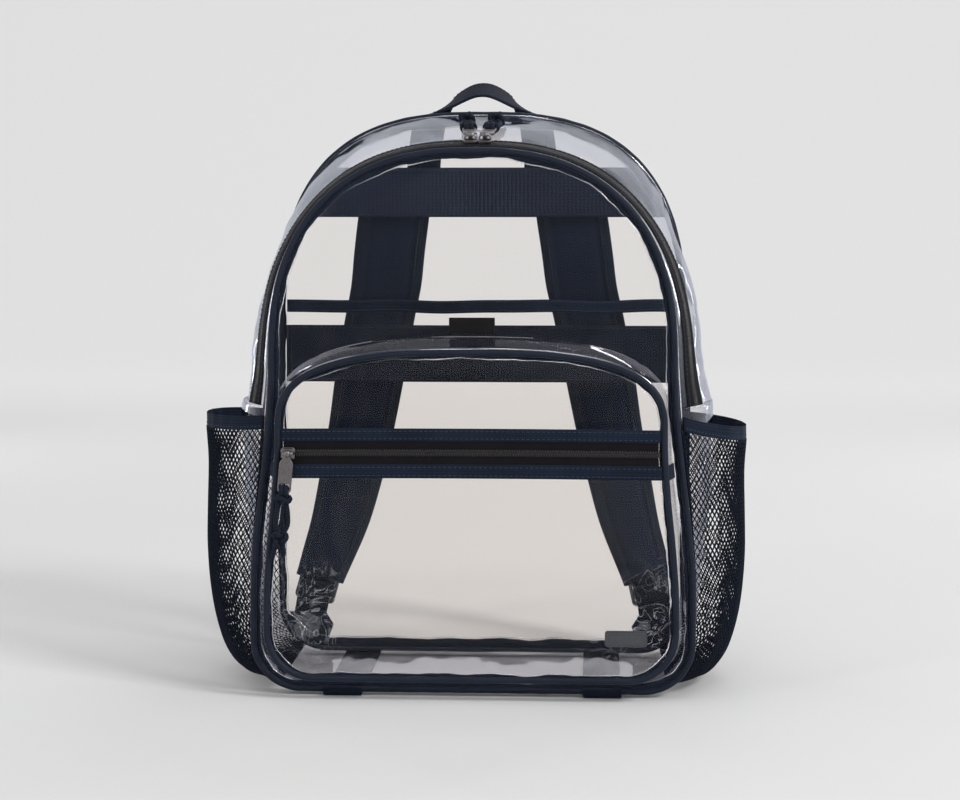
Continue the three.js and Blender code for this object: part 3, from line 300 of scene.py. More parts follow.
# Woven and knitted goods: painted shade in the weave's hollows, a painted highlight on its crowns, painted glints where
# fuzz catches light, and blotches of the cloth's own uneven tone.
# Ribs, threads, depth and blotches are in millimetres; the finest threads are drawn as coarse as they need to show.
clothShine = {"specular": 0.14, "sheenRoughness": 0.4, "sheenTint": "#9fb0cc", "fuzz": 900.0}
clothKinds = {
    "bindingTape": {  # nylon grosgrain, ribs across the tape: a dry, finely ribbed navy
        "dark": "#0b111c", "light": "#1b2637", "ribs": 1.5, "threads": 2.2, "depth": 0.16, "roughness": 0.82,
        "sheen": 0.048, "blotch": 22,
    },
    "webbing": {  # nylon webbing, heavy plain weave: darker, with a slight shine on the yarn
        "dark": "#050a13", "light": "#0e182a", "ribs": 1.9, "threads": 2.4, "depth": 0.2, "roughness": 0.68,
        "sheen": 0.028, "blotch": 30,
    },
    "spacerMesh": {  # knitted spacer fabric over foam: soft navy with small open cells
        "dark": "#0e1725", "light": "#172338", "ribs": 1.9, "threads": 1.9, "depth": 0.14, "roughness": 0.9,
        "sheen": 0.06, "blotch": 34,
    },
    "yokeTape": {  # ribbed elastic jacquard: upright ribs with a speckled face
        "dark": "#0d131f", "light": "#283348", "ribs": 2.6, "threads": 1.5, "depth": 0.18, "roughness": 0.75,
        "sheen": 0.06, "blotch": 26,
    },
    "coatedPiping": {  # coated nylon rolled over a cord: smoother, with one soft highlight along it
        "dark": "#10151f", "light": "#222938", "ribs": 1.2, "threads": 1.2, "depth": 0.05, "roughness": 0.42,
        "sheen": 0.024, "blotch": 18,
    },
    "zipperTape": {  # polyester zipper tape, tight herringbone: near black, dull
        "dark": "#080709", "light": "#171417", "ribs": 1.3, "threads": 1.6, "depth": 0.1, "roughness": 0.85,
        "sheen": 0.024, "blotch": 20,
    },
    "labelSatin": {  # woven satin label: black, with a faint directional gloss
        "dark": "#0a0909", "light": "#161414", "ribs": 0.9, "threads": 1.4, "depth": 0.05, "roughness": 0.55,
        "sheen": 0.04, "blotch": 12,
    },
    "braidedCord": {  # braided polyester cord: slanting strands round it
        "dark": "#080c15", "light": "#1d2533", "ribs": 2.1, "threads": 2.1, "depth": 0.28, "roughness": 0.8,
        "sheen": 0.048, "blotch": 14,
    },
    "netYarn": {  # knitted stretch mesh yarn, dyed navy
        "dark": "#080d17", "light": "#151d2b", "ribs": 1.1, "threads": 1.1, "depth": 0.06, "roughness": 0.85,
        "sheen": 0.048, "blotch": 40,
    },
    "sewingThread": {  # twisted polyester thread, a shade lighter than the cloth
        "dark": "#222b3b", "light": "#3d485c", "ribs": 0.7, "threads": 3, "depth": 0.05, "roughness": 0.6,
        "sheen": 0.08, "blotch": 10,
    },
}


def makeCloth(name, kind):
    material, tree = newTree(name)
    place = addNode(tree, "ShaderNodeUVMap", uv_map="cloth").outputs["UV"]
    solid = addNode(tree, "ShaderNodeTexCoord").outputs["Object"]
    ribs = addNode(tree, "ShaderNodeTexWave", {"Vector": place, "Scale": waveUnit / kind["ribs"], "Distortion": 0.6,
                   "Detail": 1.0, "Detail Scale": 0.6}, bands_direction="X").outputs["Fac"]
    threads = addNode(tree, "ShaderNodeTexWave", {"Vector": place, "Scale": waveUnit / kind["threads"],
                      "Distortion": 0.4, "Detail": 1.0}, bands_direction="Y").outputs["Fac"]
    weave = addNode(tree, "ShaderNodeMath", {0: ribs, 1: threads}, operation="MULTIPLY").outputs[0]
    fuzz = addNode(tree, "ShaderNodeTexNoise", {"Vector": solid, "Scale": clothShine["fuzz"], "Detail": 3.0,
                   "Roughness": 0.7}).outputs["Fac"]
    blotch = addNode(tree, "ShaderNodeTexNoise", {"Vector": solid, "Scale": 1000.0 / kind["blotch"], "Detail": 2.0,
                     "Roughness": 0.5}).outputs["Fac"]
    # the colour carries painted light: weave hollows painted darker, crowns and fuzz painted lighter; only the blotches
    # are the cloth's own tone
    weaveShadeAndHighlight = addNode(tree, "ShaderNodeMath", {0: weave, 1: 0.45, 2: 0.0}, operation="MULTIPLY_ADD").outputs[0]
    weaveShadeAndGlints = addNode(tree, "ShaderNodeMath", {0: fuzz, 1: 0.5, 2: weaveShadeAndHighlight}, operation="MULTIPLY_ADD").outputs[0]
    shadeGlintsAndMottle = addNode(tree, "ShaderNodeMath", {0: blotch, 1: 0.5, 2: weaveShadeAndGlints}, operation="MULTIPLY_ADD").outputs[0]
    shade = addNode(tree, "ShaderNodeMapRange", {0: shadeGlintsAndMottle, 1: 0.3, 2: 0.95}).outputs[0]
    colour = addNode(tree, "ShaderNodeMix", {"Factor": shade, 6: toLinear(kind["dark"]), 7: toLinear(kind["light"])},
                     data_type="RGBA").outputs[2]
    height = addNode(tree, "ShaderNodeMath", {0: fuzz, 1: 0.35, 2: weave}, operation="MULTIPLY_ADD").outputs[0]
    bump = addNode(tree, "ShaderNodeBump", {"Height": height, "Distance": kind["depth"] / metre}).outputs[0]
    shader = addNode(tree, "ShaderNodeBsdfPrincipled", {
        "Base Color": colour, "Roughness": kind["roughness"], "Specular IOR Level": clothShine["specular"],
        "Sheen Weight": kind["sheen"], "Sheen Roughness": clothShine["sheenRoughness"],
        "Sheen Tint": toLinear(clothShine["sheenTint"]), "Normal": bump,
    }).outputs[0]
    addNode(tree, "ShaderNodeOutputMaterial", {"Surface": shader})
    return material


# Clear PVC film, calendered: colourless with a warm cast through two sheets, and sharp wavy reflections
vinyl = {
    "tint": "#f3ebe4", "tintShare": 0.1, "edgeTint": "#eff0f6", "edge": 3.0,  # what shows through, and aslant
    "shine": "#e6eaf4", "gloss": 0.0045, "grazing": 0.85, "steep": 4.6, "roughness": 0.03,
    "ripple": 0.05, "rippleScale": 90.0, "smearScale": 26.0,
}
# Where the pocket's film crumples, in metres: both lower corners
cornerCrease = {
    "middle": (0.121, 0, 0.055), "inner": 0.01, "outer": 0.054, "crowding": 0.27, "scale": 46.0, "white": 0.05,
}


# Patches where the film sticks to itself and whitens, with hair-thin fold lines
def addCreases(tree, solid, gloss, crease):
    axes = addNode(tree, "ShaderNodeSeparateXYZ", {0: solid}).outputs
    aside = addNode(tree, "ShaderNodeMath", {0: axes["X"]}, operation="ABSOLUTE").outputs[0]
    flat = addNode(tree, "ShaderNodeCombineXYZ", {"X": aside, "Z": axes["Z"]}).outputs[0]
    away = addNode(tree, "ShaderNodeVectorMath", {0: flat, 1: crease["middle"]}, operation="DISTANCE")
    near = addNode(tree, "ShaderNodeMapRange", {0: away.outputs["Value"], 1: crease["inner"], 2: crease["outer"],
                   3: crease["crowding"], 4: 0.0}).outputs[0]
    crumple = addNode(tree, "ShaderNodeTexNoise", {"Vector": solid, "Scale": crease["scale"], "Detail": 3.0,
                      "Distortion": 1.6}).outputs["Fac"]
    crowded = addNode(tree, "ShaderNodeMath", {0: crumple, 1: near}, operation="ADD").outputs[0]
    patch = addNode(tree, "ShaderNodeMapRange", {0: crowded, 1: 0.85, 2: 0.862, 3: 0.0,
                    4: crease["white"]}).outputs[0]
    folds = addNode(tree, "ShaderNodeTexNoise", {"Vector": solid, "Scale": crease["scale"] * 1.3, "Detail": 1.0,
                    "Distortion": 2.2}).outputs["Fac"]
    offLine = addNode(tree, "ShaderNodeMath", {0: folds, 1: 0.5}, operation="SUBTRACT").outputs[0]
    offFold = addNode(tree, "ShaderNodeMath", {0: offLine}, operation="ABSOLUTE").outputs[0]
    fold = addNode(tree, "ShaderNodeMapRange", {0: offFold, 1: 0.003, 2: 0.012, 3: 1.2, 4: 0.0}).outputs[0]
    foldNear = addNode(tree, "ShaderNodeMath", {0: fold, 1: near}, operation="MULTIPLY").outputs[0]
    whiter = addNode(tree, "ShaderNodeMath", {0: patch, 1: foldNear}, operation="ADD").outputs[0]
    return addNode(tree, "ShaderNodeMath", {0: gloss, 1: whiter}, operation="ADD", use_clamp=True).outputs[0]


def makeVinyl(name, kind, crease=None):
    material, tree = newTree(name)
    solid = addNode(tree, "ShaderNodeTexCoord").outputs["Object"]
    ripple = addNode(tree, "ShaderNodeTexNoise", {"Vector": solid, "Scale": kind["rippleScale"],
                     "Detail": 1.5}).outputs["Fac"]
    smear = addNode(tree, "ShaderNodeTexNoise", {"Vector": solid, "Scale": kind["smearScale"],
                    "Detail": 3.0}).outputs["Fac"]
    bump = addNode(tree, "ShaderNodeBump", {"Height": ripple, "Distance": kind["ripple"] / metre}).outputs[0]
    facing = addNode(tree, "ShaderNodeLayerWeight", {"Blend": 0.5, "Normal": bump}).outputs["Facing"]
    steep = addNode(tree, "ShaderNodeMath", {0: facing, 1: kind["steep"]}, operation="POWER").outputs[0]
    gloss = addNode(tree, "ShaderNodeMapRange", {0: steep, 3: kind["gloss"], 4: kind["grazing"]}).outputs[0]
    edge = addNode(tree, "ShaderNodeMath", {0: facing, 1: kind["edge"]}, operation="POWER").outputs[0]
    through = [1 - (1 - channel) * kind["tintShare"] for channel in toLinear(kind["tint"])]
    tint = addNode(tree, "ShaderNodeMix", {"Factor": edge, 6: through, 7: toLinear(kind["edgeTint"])},
                   data_type="RGBA").outputs[2]
    haze = addNode(tree, "ShaderNodeMapRange", {0: smear, 1: 0.35, 2: 0.75, 3: kind["roughness"],
                   4: kind["roughness"] * 3}).outputs[0]
    if crease:
        gloss = addCreases(tree, solid, gloss, crease)
    clear = addNode(tree, "ShaderNodeBsdfTransparent", {"Color": tint}).outputs[0]
    shine = addNode(tree, "ShaderNodeBsdfGlossy", {"Color": toLinear(kind["shine"]), "Roughness": haze,
                    "Normal": bump}).outputs[0]
    mixed = addNode(tree, "ShaderNodeMixShader", {0: gloss, 1: clear, 2: shine}).outputs[0]
    addNode(tree, "ShaderNodeOutputMaterial", {"Surface": mixed})
    return material


# Hard goods: each with its own grain, seen as broken highlights
hardKinds = {
    "castZinc": {  # zinc alloy, tumbled and plated gunmetal: satin, rosy grey, with rubbed edges
        "dark": "#4b4a4d", "light": "#8d8889", "metallic": 1.0, "roughness": (0.26, 0.46), "grain": 1.6, "depth": 0.02,
    },
    "nylonCoil": {  # drawn nylon monofilament: near black with a wet shine
        "dark": "#080708", "light": "#1b1819", "metallic": 0.0, "roughness": (0.25, 0.45), "grain": 3.0, "depth": 0.01,
    },
    "acetal": {  # moulded acetal buckle: satin navy-black with a fine spark texture
        "dark": "#0d121b", "light": "#1d2431", "metallic": 0.0, "roughness": (0.36, 0.55), "grain": 0.8, "depth": 0.02,
    },
    "softRubber": {  # moulded soft PVC patch: matt grey, faintly dusty
        "dark": "#26282c", "light": "#45484d", "metallic": 0.0, "roughness": (0.55, 0.78), "grain": 0.9, "depth": 0.03,
    },
}


def makeHard(name, kind):
    material, tree = newTree(name)
    solid = addNode(tree, "ShaderNodeTexCoord").outputs["Object"]
    grain = addNode(tree, "ShaderNodeTexNoise", {"Vector": solid, "Scale": 1000.0 / kind["grain"], "Detail": 3.0,
                    "Roughness": 0.6}).outputs["Fac"]
    cloud = addNode(tree, "ShaderNodeTexNoise", {"Vector": solid, "Scale": 160.0, "Detail": 2.0}).outputs["Fac"]
    worn = addNode(tree, "ShaderNodeNewGeometry").outputs["Pointiness"]
    rubbed = addNode(tree, "ShaderNodeMapRange", {0: worn, 1: 0.5, 2: 0.62, 3: 0.0, 4: 0.6}).outputs[0]
    blend = addNode(tree, "ShaderNodeMath", {0: grain, 1: 0.5, 2: rubbed}, operation="MULTIPLY_ADD").outputs[0]
    shade = addNode(tree, "ShaderNodeMath", {0: cloud, 1: 0.3, 2: blend}, operation="MULTIPLY_ADD",
                    use_clamp=True).outputs[0]
    colour = addNode(tree, "ShaderNodeMix", {"Factor": shade, 6: toLinear(kind["dark"]), 7: toLinear(kind["light"])},
                     data_type="RGBA").outputs[2]
    low, high = kind["roughness"]
    rough = addNode(tree, "ShaderNodeMapRange", {0: cloud, 1: 0.3, 2: 0.7, 3: low, 4: high}).outputs[0]
    bump = addNode(tree, "ShaderNodeBump", {"Height": grain, "Distance": kind["depth"] / metre}).outputs[0]
    shader = addNode(tree, "ShaderNodeBsdfPrincipled", {
        "Base Color": colour, "Metallic": kind["metallic"], "Roughness": rough, "Normal": bump,
    }).outputs[0]
    addNode(tree, "ShaderNodeOutputMaterial", {"Surface": shader})
    return material


finishes = {name: makeCloth(name, kind) for name, kind in clothKinds.items()}
finishes.update({name: makeHard(name, kind) for name, kind in hardKinds.items()})


# The film's cut and rolled edges: they gather light, in broken runs
rolledEdge = {"shine": "#f4f6fc", "roughness": 0.18, "runScale": 14.0, "least": 0.05, "most": 0.8}


def makeVinylEdge(name):
    material, tree = newTree(name)
    solid = addNode(tree, "ShaderNodeTexCoord").outputs["Object"]
    broken = addNode(tree, "ShaderNodeTexNoise", {"Vector": solid, "Scale": rolledEdge["runScale"],
                     "Detail": 2.0}).outputs["Fac"]
    amount = addNode(tree, "ShaderNodeMapRange", {0: broken, 1: 0.42, 2: 0.62, 3: rolledEdge["least"],
                     4: rolledEdge["most"]}).outputs[0]
    clear = addNode(tree, "ShaderNodeBsdfTransparent", {"Color": (1, 1, 1, 1)}).outputs[0]
    shine = addNode(tree, "ShaderNodeBsdfGlossy", {"Color": toLinear(rolledEdge["shine"]),
                    "Roughness": rolledEdge["roughness"]}).outputs[0]
    mixed = addNode(tree, "ShaderNodeMixShader", {0: amount, 1: clear, 2: shine}).outputs[0]
    addNode(tree, "ShaderNodeOutputMaterial", {"Surface": mixed})
    return material


finishes["vinylEdge"] = makeVinylEdge("vinylEdge")
finishes["clearVinyl"] = makeVinyl("clearVinyl", vinyl)
finishes["creasedVinyl"] = makeVinyl("creasedVinyl", vinyl, cornerCrease)
print("materials made:", len(finishes))

# Mesh helpers


# Faces of a grid of points, with each corner's place on the flat cloth
def gridFaces(grid, loopRows=False, loopColumns=False):
    rows, columns = grid.shape[:2]
    steps = np.arange(rows if loopRows else rows - 1), np.arange(columns if loopColumns else columns - 1)
    i, j = (index.ravel() for index in np.meshgrid(*steps, indexing="ij"))
    nextI, nextJ = (i + 1) % rows, (j + 1) % columns
    faces = np.stack([i * columns + j, nextI * columns + j, nextI * columns + nextJ, i * columns + nextJ], 1)
    along = gridRun(np.concatenate([grid, grid[:1]]) if loopRows else grid, 0)
    across = gridRun(np.concatenate([grid, grid[:, :1]], 1) if loopColumns else grid, 1)
    corners = [(i, j), (i + 1, j), (i + 1, j + 1), (i, j + 1)]
    places = np.stack([np.stack([along[a], across[b]], 1) for a, b in corners], 1)
    return faces, places


def gridNormals(grid, loopRows=False, loopColumns=False):
    def slope(axis, loop):
        if loop:
            return np.roll(grid, -1, axis) - np.roll(grid, 1, axis)
        return np.gradient(grid, axis=axis)

    normal = np.cross(slope(0, loopRows), slope(1, loopColumns))
    return normal / np.maximum(np.linalg.norm(normal, axis=2, keepdims=True), 1e-9)


# The strips that join a shell's two sides at its open edges
def wallFaces(rows, columns, inner, loopRows, loopColumns):
    index = np.arange(rows * columns).reshape(rows, columns)
    edges = []
    if not loopColumns:
        sides = np.concatenate([index, index[:1]]) if loopRows else index
        edges += [(sides[1:, 0], sides[:-1, 0]), (sides[:-1, -1], sides[1:, -1])]
    if not loopRows:
        ends = np.concatenate([index, index[:, :1]], 1) if loopColumns else index
        edges += [(ends[0, :-1], ends[0, 1:]), (ends[-1, 1:], ends[-1, :-1])]
    walls = [np.stack([a, b, b + inner, a + inner], 1) for a, b in edges]
    return np.concatenate(walls) if walls else np.zeros((0, 4), int)


# Points and faces of one piece, gathered before the mesh is made
class Draft:
    def __init__(self):
        self.points, self.faces, self.places, self.slots, self.count = [], [], [], [], 0

    def add(self, points, faces, places, slot=0):
        points = np.asarray(points, float).reshape(-1, 3)
        self.points.append(points)
        self.faces += [[int(corner) + self.count for corner in face] for face in faces]
        self.places += list(places)
        self.slots += [slot] * len(faces)
        self.count += len(points)


def makePiece(name, draft, materials, nodes=(), smooth=True, angle=None):
    mesh = bpy.data.meshes.new(name)
    mesh.from_pydata((np.concatenate(draft.points) / metre).tolist(), [], draft.faces)
    layer = mesh.uv_layers.new(name="cloth")
    places = np.concatenate([np.asarray(place, float).reshape(-1, 2) for place in draft.places])
    layer.data.foreach_set("uv", places.ravel())
    for material in materials:
        mesh.materials.append(finishes[material])
    mesh.polygons.foreach_set("material_index", draft.slots)
    mesh.polygons.foreach_set("use_smooth", [smooth] * len(mesh.polygons))
    mesh.update()
    if angle is not None:
        mesh.set_sharp_from_angle(angle=math.radians(angle))
    piece = bpy.data.objects.new(name, mesh)
    bpy.context.scene.collection.objects.link(piece)
    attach(piece, "root")
    if nodes:
        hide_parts(*nodes)
    return piece


# A sheet of even thickness about a grid
def addShell(draft, grid, wall, loopRows=False, loopColumns=False, slot=0):
    rows, columns = grid.shape[:2]
    away = gridNormals(grid, loopRows, loopColumns) * wall / 2
    faces, places = gridFaces(grid, loopRows, loopColumns)
    size = rows * columns
    walls = wallFaces(rows, columns, size, loopRows, loopColumns)
    points = np.concatenate([(grid + away).reshape(-1, 3), (grid - away).reshape(-1, 3)])
    allFaces = np.concatenate([faces, faces[:, ::-1] + size, walls])
    allPlaces = np.concatenate([places, places[:, ::-1], np.zeros((len(walls), 4, 2))])
    draft.add(points, allFaces, allPlaces, slot)


# A body through rings of points
def addLoft(draft, rings, loopRows=False, slot=0):
    rings = np.asarray(rings, float)
    rows, columns = rings.shape[:2]
    faces, places = gridFaces(rings, loopRows, True)
    faces, places = faces.tolist(), list(places)
    if not loopRows:  # both ends closed
        size = rows * columns
        faces += [list(range(columns)), list(range(size - 1, size - columns - 1, -1))]
        places += [np.zeros((columns, 2))] * 2
    points = rings.reshape(-1, 3)
    arms = points - points.mean(0)
    volume = sum(np.dot(arms[face[0]], np.cross(arms[b], arms[c]))
                 for face in faces for b, c in zip(face[1:-1], face[2:]))
    if volume < 0:  # inside out
        faces = [face[::-1] for face in faces]
        places = [place[::-1] for place in places]
    draft.add(points, faces, places, slot)


def unit(vectors):
    vectors = np.asarray(vectors, float)
    return vectors / np.maximum(np.linalg.norm(vectors, axis=-1, keepdims=True), 1e-9)


# A smooth line through a few points
def smoothLine(spots, count):
    spots = np.asarray(spots, float)
    ends = np.concatenate([[2 * spots[0] - spots[1]], spots, [2 * spots[-1] - spots[-2]]])
    at = np.linspace(0, len(spots) - 1, count)
    i = np.minimum(at.astype(int), len(spots) - 2)
    t = (at - i)[:, None]
    p0, p1, p2, p3 = ends[i], ends[i + 1], ends[i + 2], ends[i + 3]
    square, cube = 2 * p0 - 5 * p1 + 4 * p2 - p3, 3 * p1 - p0 - 3 * p2 + p3
    return 0.5 * (2 * p1 + (p2 - p0) * t + square * t ** 2 + cube * t ** 3)


# A path with its corners eased, at an even step
def easedLine(spots, step, passes):
    spots = np.asarray(spots, float)
    run = runAlong(spots[:, :3])
    at = np.linspace(0, run[-1], max(int(run[-1] / step), 4) + 1)
    line = np.stack([np.interp(at, run, spots[:, k]) for k in range(spots.shape[1])], 1)
    for _ in range(passes):
        line[1:-1] = (line[:-2] + 2 * line[1:-1] + line[2:]) / 4
    return line


# A flat section with rounded edges: pairs of across and out
def tapeSection(width, wall, edge=3, across=8):
    radius = wall / 2
    inner = width / 2 - radius
    turn = np.linspace(-math.pi / 2, math.pi / 2, edge + 2)
    right = np.stack([inner + radius * np.cos(turn), radius * np.sin(turn)], 1)
    top = np.stack([np.linspace(inner, -inner, across + 1)[1:-1], np.full(across - 1, radius)], 1)
    return np.concatenate([right, top, -right, -top])


# Webbing or tape along a path, with the direction of its width at each point
def ribbonRings(path, across, section):
    path, across = np.asarray(path, float), unit(across)
    out = unit(np.cross(unit(np.gradient(path, axis=0)), across))
    return path[:, None] + section[None, :, :1] * across[:, None] + section[None, :, 1:] * out[:, None]


# Directions round a ring, from two that are square to each other
def spokes(angle, first, second):
    return np.cos(angle)[None, :, None] * first[:, None] + np.sin(angle)[None, :, None] * second[:, None]


# A round body along a path
def tubeRings(path, radii, sides=8):
    path = np.asarray(path, float)
    radii = np.broadcast_to(np.asarray(radii, float), (len(path),))
    tangent = unit(np.gradient(path, axis=0))
    first = unit(np.cross(tangent, np.array([0.0, 1.0, 0.0])))
    second = unit(np.cross(tangent, first))
    return path[:, None] + radii[:, None, None] * spokes(fullTurn(sides), first, second)


# Small rounded bars laid in a row: stitches, and the turns of a zipper coil
barShape = np.array([[-0.5, 0.3, -0.7], [-0.4, 0.85, 0.1], [-0.15, 1, 0.8], [0.15, 1, 0.8], [0.4, 0.85, 0.1],
                     [0.5, 0.3, -0.7]])


def addBars(draft, centres, alongs, normals, length, radius, lift, sides=5, slot=0):
    centres, alongs, normals = np.asarray(centres, float), unit(alongs), unit(normals)
    around = spokes(fullTurn(sides) + 0.3, unit(np.cross(alongs, normals)), normals)
    rings = []
    for share, wide, high in barShape:
        middle = centres + alongs * share * length + normals * high * lift
        rings.append(middle[:, None] + radius * wide * around)
    rings = np.stack(rings, 1)  # bars, rings, sides, 3
    bars, rows = rings.shape[:2]
    size = rows * sides
    firsts = np.arange(bars) * size
    one, _ = gridFaces(rings[0], False, True)
    quads = (one[None] + firsts[:, None, None]).reshape(-1, 4).tolist()
    caps = []
    for first in firsts.tolist():
        caps.append(list(range(first, first + sides)))
        caps.append(list(range(first + size - 1, first + size - sides - 1, -1)))
    places = [np.zeros((4, 2))] * len(quads) + [np.zeros((sides, 2))] * len(caps)
    draft.add(rings, quads + caps, places, slot)


stitch = {"length": 2.3, "pitch": 3.5, "thread": 0.34, "lift": 0.22}


# Points at an even pitch along a line, with its direction and the cloth's normal there
def pacedLine(line, normals, pitch, start=0.5):
    line, normals = np.asarray(line, float), np.asarray(normals, float)
    run = runAlong(line)
    at = np.arange(start * pitch, run[-1] - 0.3 * pitch, pitch)
    spots = np.stack([np.interp(at, run, line[:, k]) for k in range(3)], 1)
    up = np.stack([np.interp(at, run, normals[:, k]) for k in range(3)], 1)
    ahead = np.stack([np.interp(at + 0.2, run, line[:, k]) for k in range(3)], 1)
    before = np.stack([np.interp(at - 0.2, run, line[:, k]) for k in range(3)], 1)
    return spots, ahead - before, up


def sewLine(draft, line, normals, slot=0, pitch=None):
    spots, ahead, up = pacedLine(line, normals, pitch or stitch["pitch"])
    if len(spots):
        addBars(draft, spots, ahead, up, stitch["length"], stitch["thread"], stitch["lift"], slot=slot)


def sewAlong(draft, line, normal, slot=0, pitch=None):
    line = np.asarray(line, float)
    sewLine(draft, line, np.broadcast_to(np.asarray(normal, float), line.shape), slot, pitch)


def makeStitching(name, sewing):
    makePiece(name, sewing, ["sewingThread"])


# Wrinkles: a few long waves laid over each other, always the same for a seed
def ripples(x, z, wavelength, seed, count=7):
    chance = np.random.default_rng(seed)
    total = 0.0
    for _ in range(count):
        angle = chance.uniform(0, math.pi)
        length = wavelength * chance.uniform(0.7, 1.5)
        phase = chance.uniform(0, 2 * math.pi)
        total = total + np.sin((x * math.cos(angle) + z * math.sin(angle)) * 2 * math.pi / length + phase)
    return total / math.sqrt(count)


def smoothStep(low, high, value):
    share = np.clip((value - low) / (high - low), 0, 1)
    return share * share * (3 - 2 * share)


# Pull cords, made first because their room is checked against the camera

cordSize = {"radius": 1.75, "length": 27, "bar": 2, "eyeOut": 5.8, "swing": 0.09, "fan": 0.096}
cordKnots = {
    "loopAside": 1.55, "loopHalf": 3.1, "loopRadius": 0.97,  # the two loops over the puller's bar
    "turnWide": 4.3, "turnDeep": 2.9, "turnZ": -31.2, "turnWave": 1.1, "turnRadius": 1.15,  # round both strands
    "knotSize": 1.62, "knotDeep": 1.5, "knotOut": -7, "knotZ": -59, "knotRadius": 1.08,
}
# Routes of one cord's two strands, in the puller's own axes, from the hitch through the knot to the cut end
cordRoutes = {
    "a": [[-2, -5.8, -33], [-4.1, -5.5, -41], [-4.1, -5.4, -48], [-1.6, -6.4, -56], [-1.4, -6.9, -61],
          [-3.3, -6.3, -67], [-4.5, -5.2, -74]],
    "b": [[2, -5.8, -33], [3.8, -5.6, -41.5], [4.2, -5.3, -49], [1.7, -6.4, -56], [1.4, -6.9, -61],
          [2.9, -6.4, -66], [3.3, -5.2, -71]],
}


# Where each pull sits, how far its cord swings, and the frame's pieces that it stands for
def pullFrames():
    def topZ(y):
        return bagSkin(stations["top"], y, 0)[2]

    zipY = nodeMiddle("main_zipper_coil", 1)
    slope = math.atan2(topZ(backY) - topZ(frontY), bagDepth)
    pocketSpot = Vector((nodeMiddle("pocket_slider", 0), pocketY, pocketZip["middle"]))
    pocketNodes = ("pocket_slider", "pocket_puller", "pocket_pull_cord")
    frames = {"pocket": (Matrix.Translation(pocketSpot), cordSize["swing"], pocketNodes)}
    lie = Matrix.Rotation(math.pi, 4, "Z") @ Matrix.Rotation(-math.pi / 2 - slope, 4, "X")
    for side, sign in (("left", -1), ("right", 1)):
        spot = Vector((nodeMiddle(f"main_slider_{side}", 0), zipY, topZ(zipY)))
        nodes = (f"main_slider_{side}", f"main_puller_{side}", f"main_pull_cord_{side}")
        frames[f"main_{side}"] = (Matrix.Translation(spot) @ lie, sign * cordSize["fan"], nodes)
    return frames


def placed(points, matrix):
    points = np.asarray(points, float)
    turn = np.array(matrix)
    return points @ turn[:3, :3].T + turn[:3, 3]


# A tube along a line that closes on itself
def closedTube(loop, radius, sides):
    tangent = unit(np.roll(loop, -1, 0) - np.roll(loop, 1, 0))
    out = unit(loop - loop.mean(0))
    first = unit(out - tangent * (out * tangent).sum(1, keepdims=True))
    return loop[:, None] + radius * spokes(fullTurn(sides), first, unit(np.cross(tangent, first)))


def addCord(name, path, radius):
    ends = np.ones(len(path))
    ends[[0, -1]], ends[[1, -2]] = 0.55, 0.9  # cut and singed
    draft = Draft()
    addLoft(draft, tubeRings(path, radius * ends, 10))
    return makePiece(name, draft, ["braidedCord"])


def makePullCords(pulls):
    radius = cordSize["radius"]
    barZ = -cordSize["length"] + cordSize["bar"] / 2
    for pull, (base, swing, nodes) in pulls.items():
        hang = base @ Matrix.Rotation(swing, 4, "Y")
        hitch = Draft()
        angle = fullTurn(24)
        half = cordKnots["loopHalf"]
        for side in (-1, 1):
            loop = np.stack([0 * angle + side * cordKnots["loopAside"], -cordSize["eyeOut"] + half * np.sin(angle),
                             barZ + half * np.cos(angle)], 1)
            addLoft(hitch, placed(closedTube(loop, radius * cordKnots["loopRadius"], 8), hang), True)
        angle = fullTurn(32)
        turn = np.stack([cordKnots["turnWide"] * np.cos(angle),
                         -cordSize["eyeOut"] + cordKnots["turnDeep"] * np.sin(angle),
                         cordKnots["turnZ"] + cordKnots["turnWave"] * np.sin(2 * angle)], 1)
        addLoft(hitch, placed(closedTube(turn, radius * cordKnots["turnRadius"], 8), hang), True)
        hitchPiece = makePiece(f"{pull}_cord_hitch", hitch, ["braidedCord"])
        t = fullTurn(72)
        coil = np.stack([np.sin(t) + 2 * np.sin(2 * t), np.cos(t) - 2 * np.cos(2 * t), -1.35 * np.sin(3 * t)], 1)
        coil *= cordKnots["knotSize"]
        turned = np.stack([coil[:, 0], coil[:, 2] * cordKnots["knotDeep"] + cordKnots["knotOut"],
                           coil[:, 1] + cordKnots["knotZ"]], 1)
        knot = Draft()
        addLoft(knot, placed(closedTube(turned, radius * cordKnots["knotRadius"], 9), hang), True)
        knotPiece = makePiece(f"{pull}_cord_knot", knot, ["braidedCord"])
        for strand, route in cordRoutes.items():
            path = placed(smoothLine(route, 41), hang)
            addCord(f"{pull}_cord_{strand}", path, radius)
        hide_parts(nodes[2])


pulls = pullFrames()
makePullCords(pulls)
print("pull cords made")

# Piping and its bindings

pipingLook = {
    "step": 3.2, "sides": 16, "crinkle": 0.0315,  # the coated roll, slightly puckered
    "fold": 1.6, "foldIn": 0.7, "stitchIn": 2.2,  # the tape that binds the seam inside, its free edge folded
    "seat": 3.2, "turnedWall": 0.8,  # the tape's other half, turned in over the panel
    "bead": 0.34, "beadBack": 4.2, "beadOut": 0.45,  # the film's rolled edges, which catch the light
}


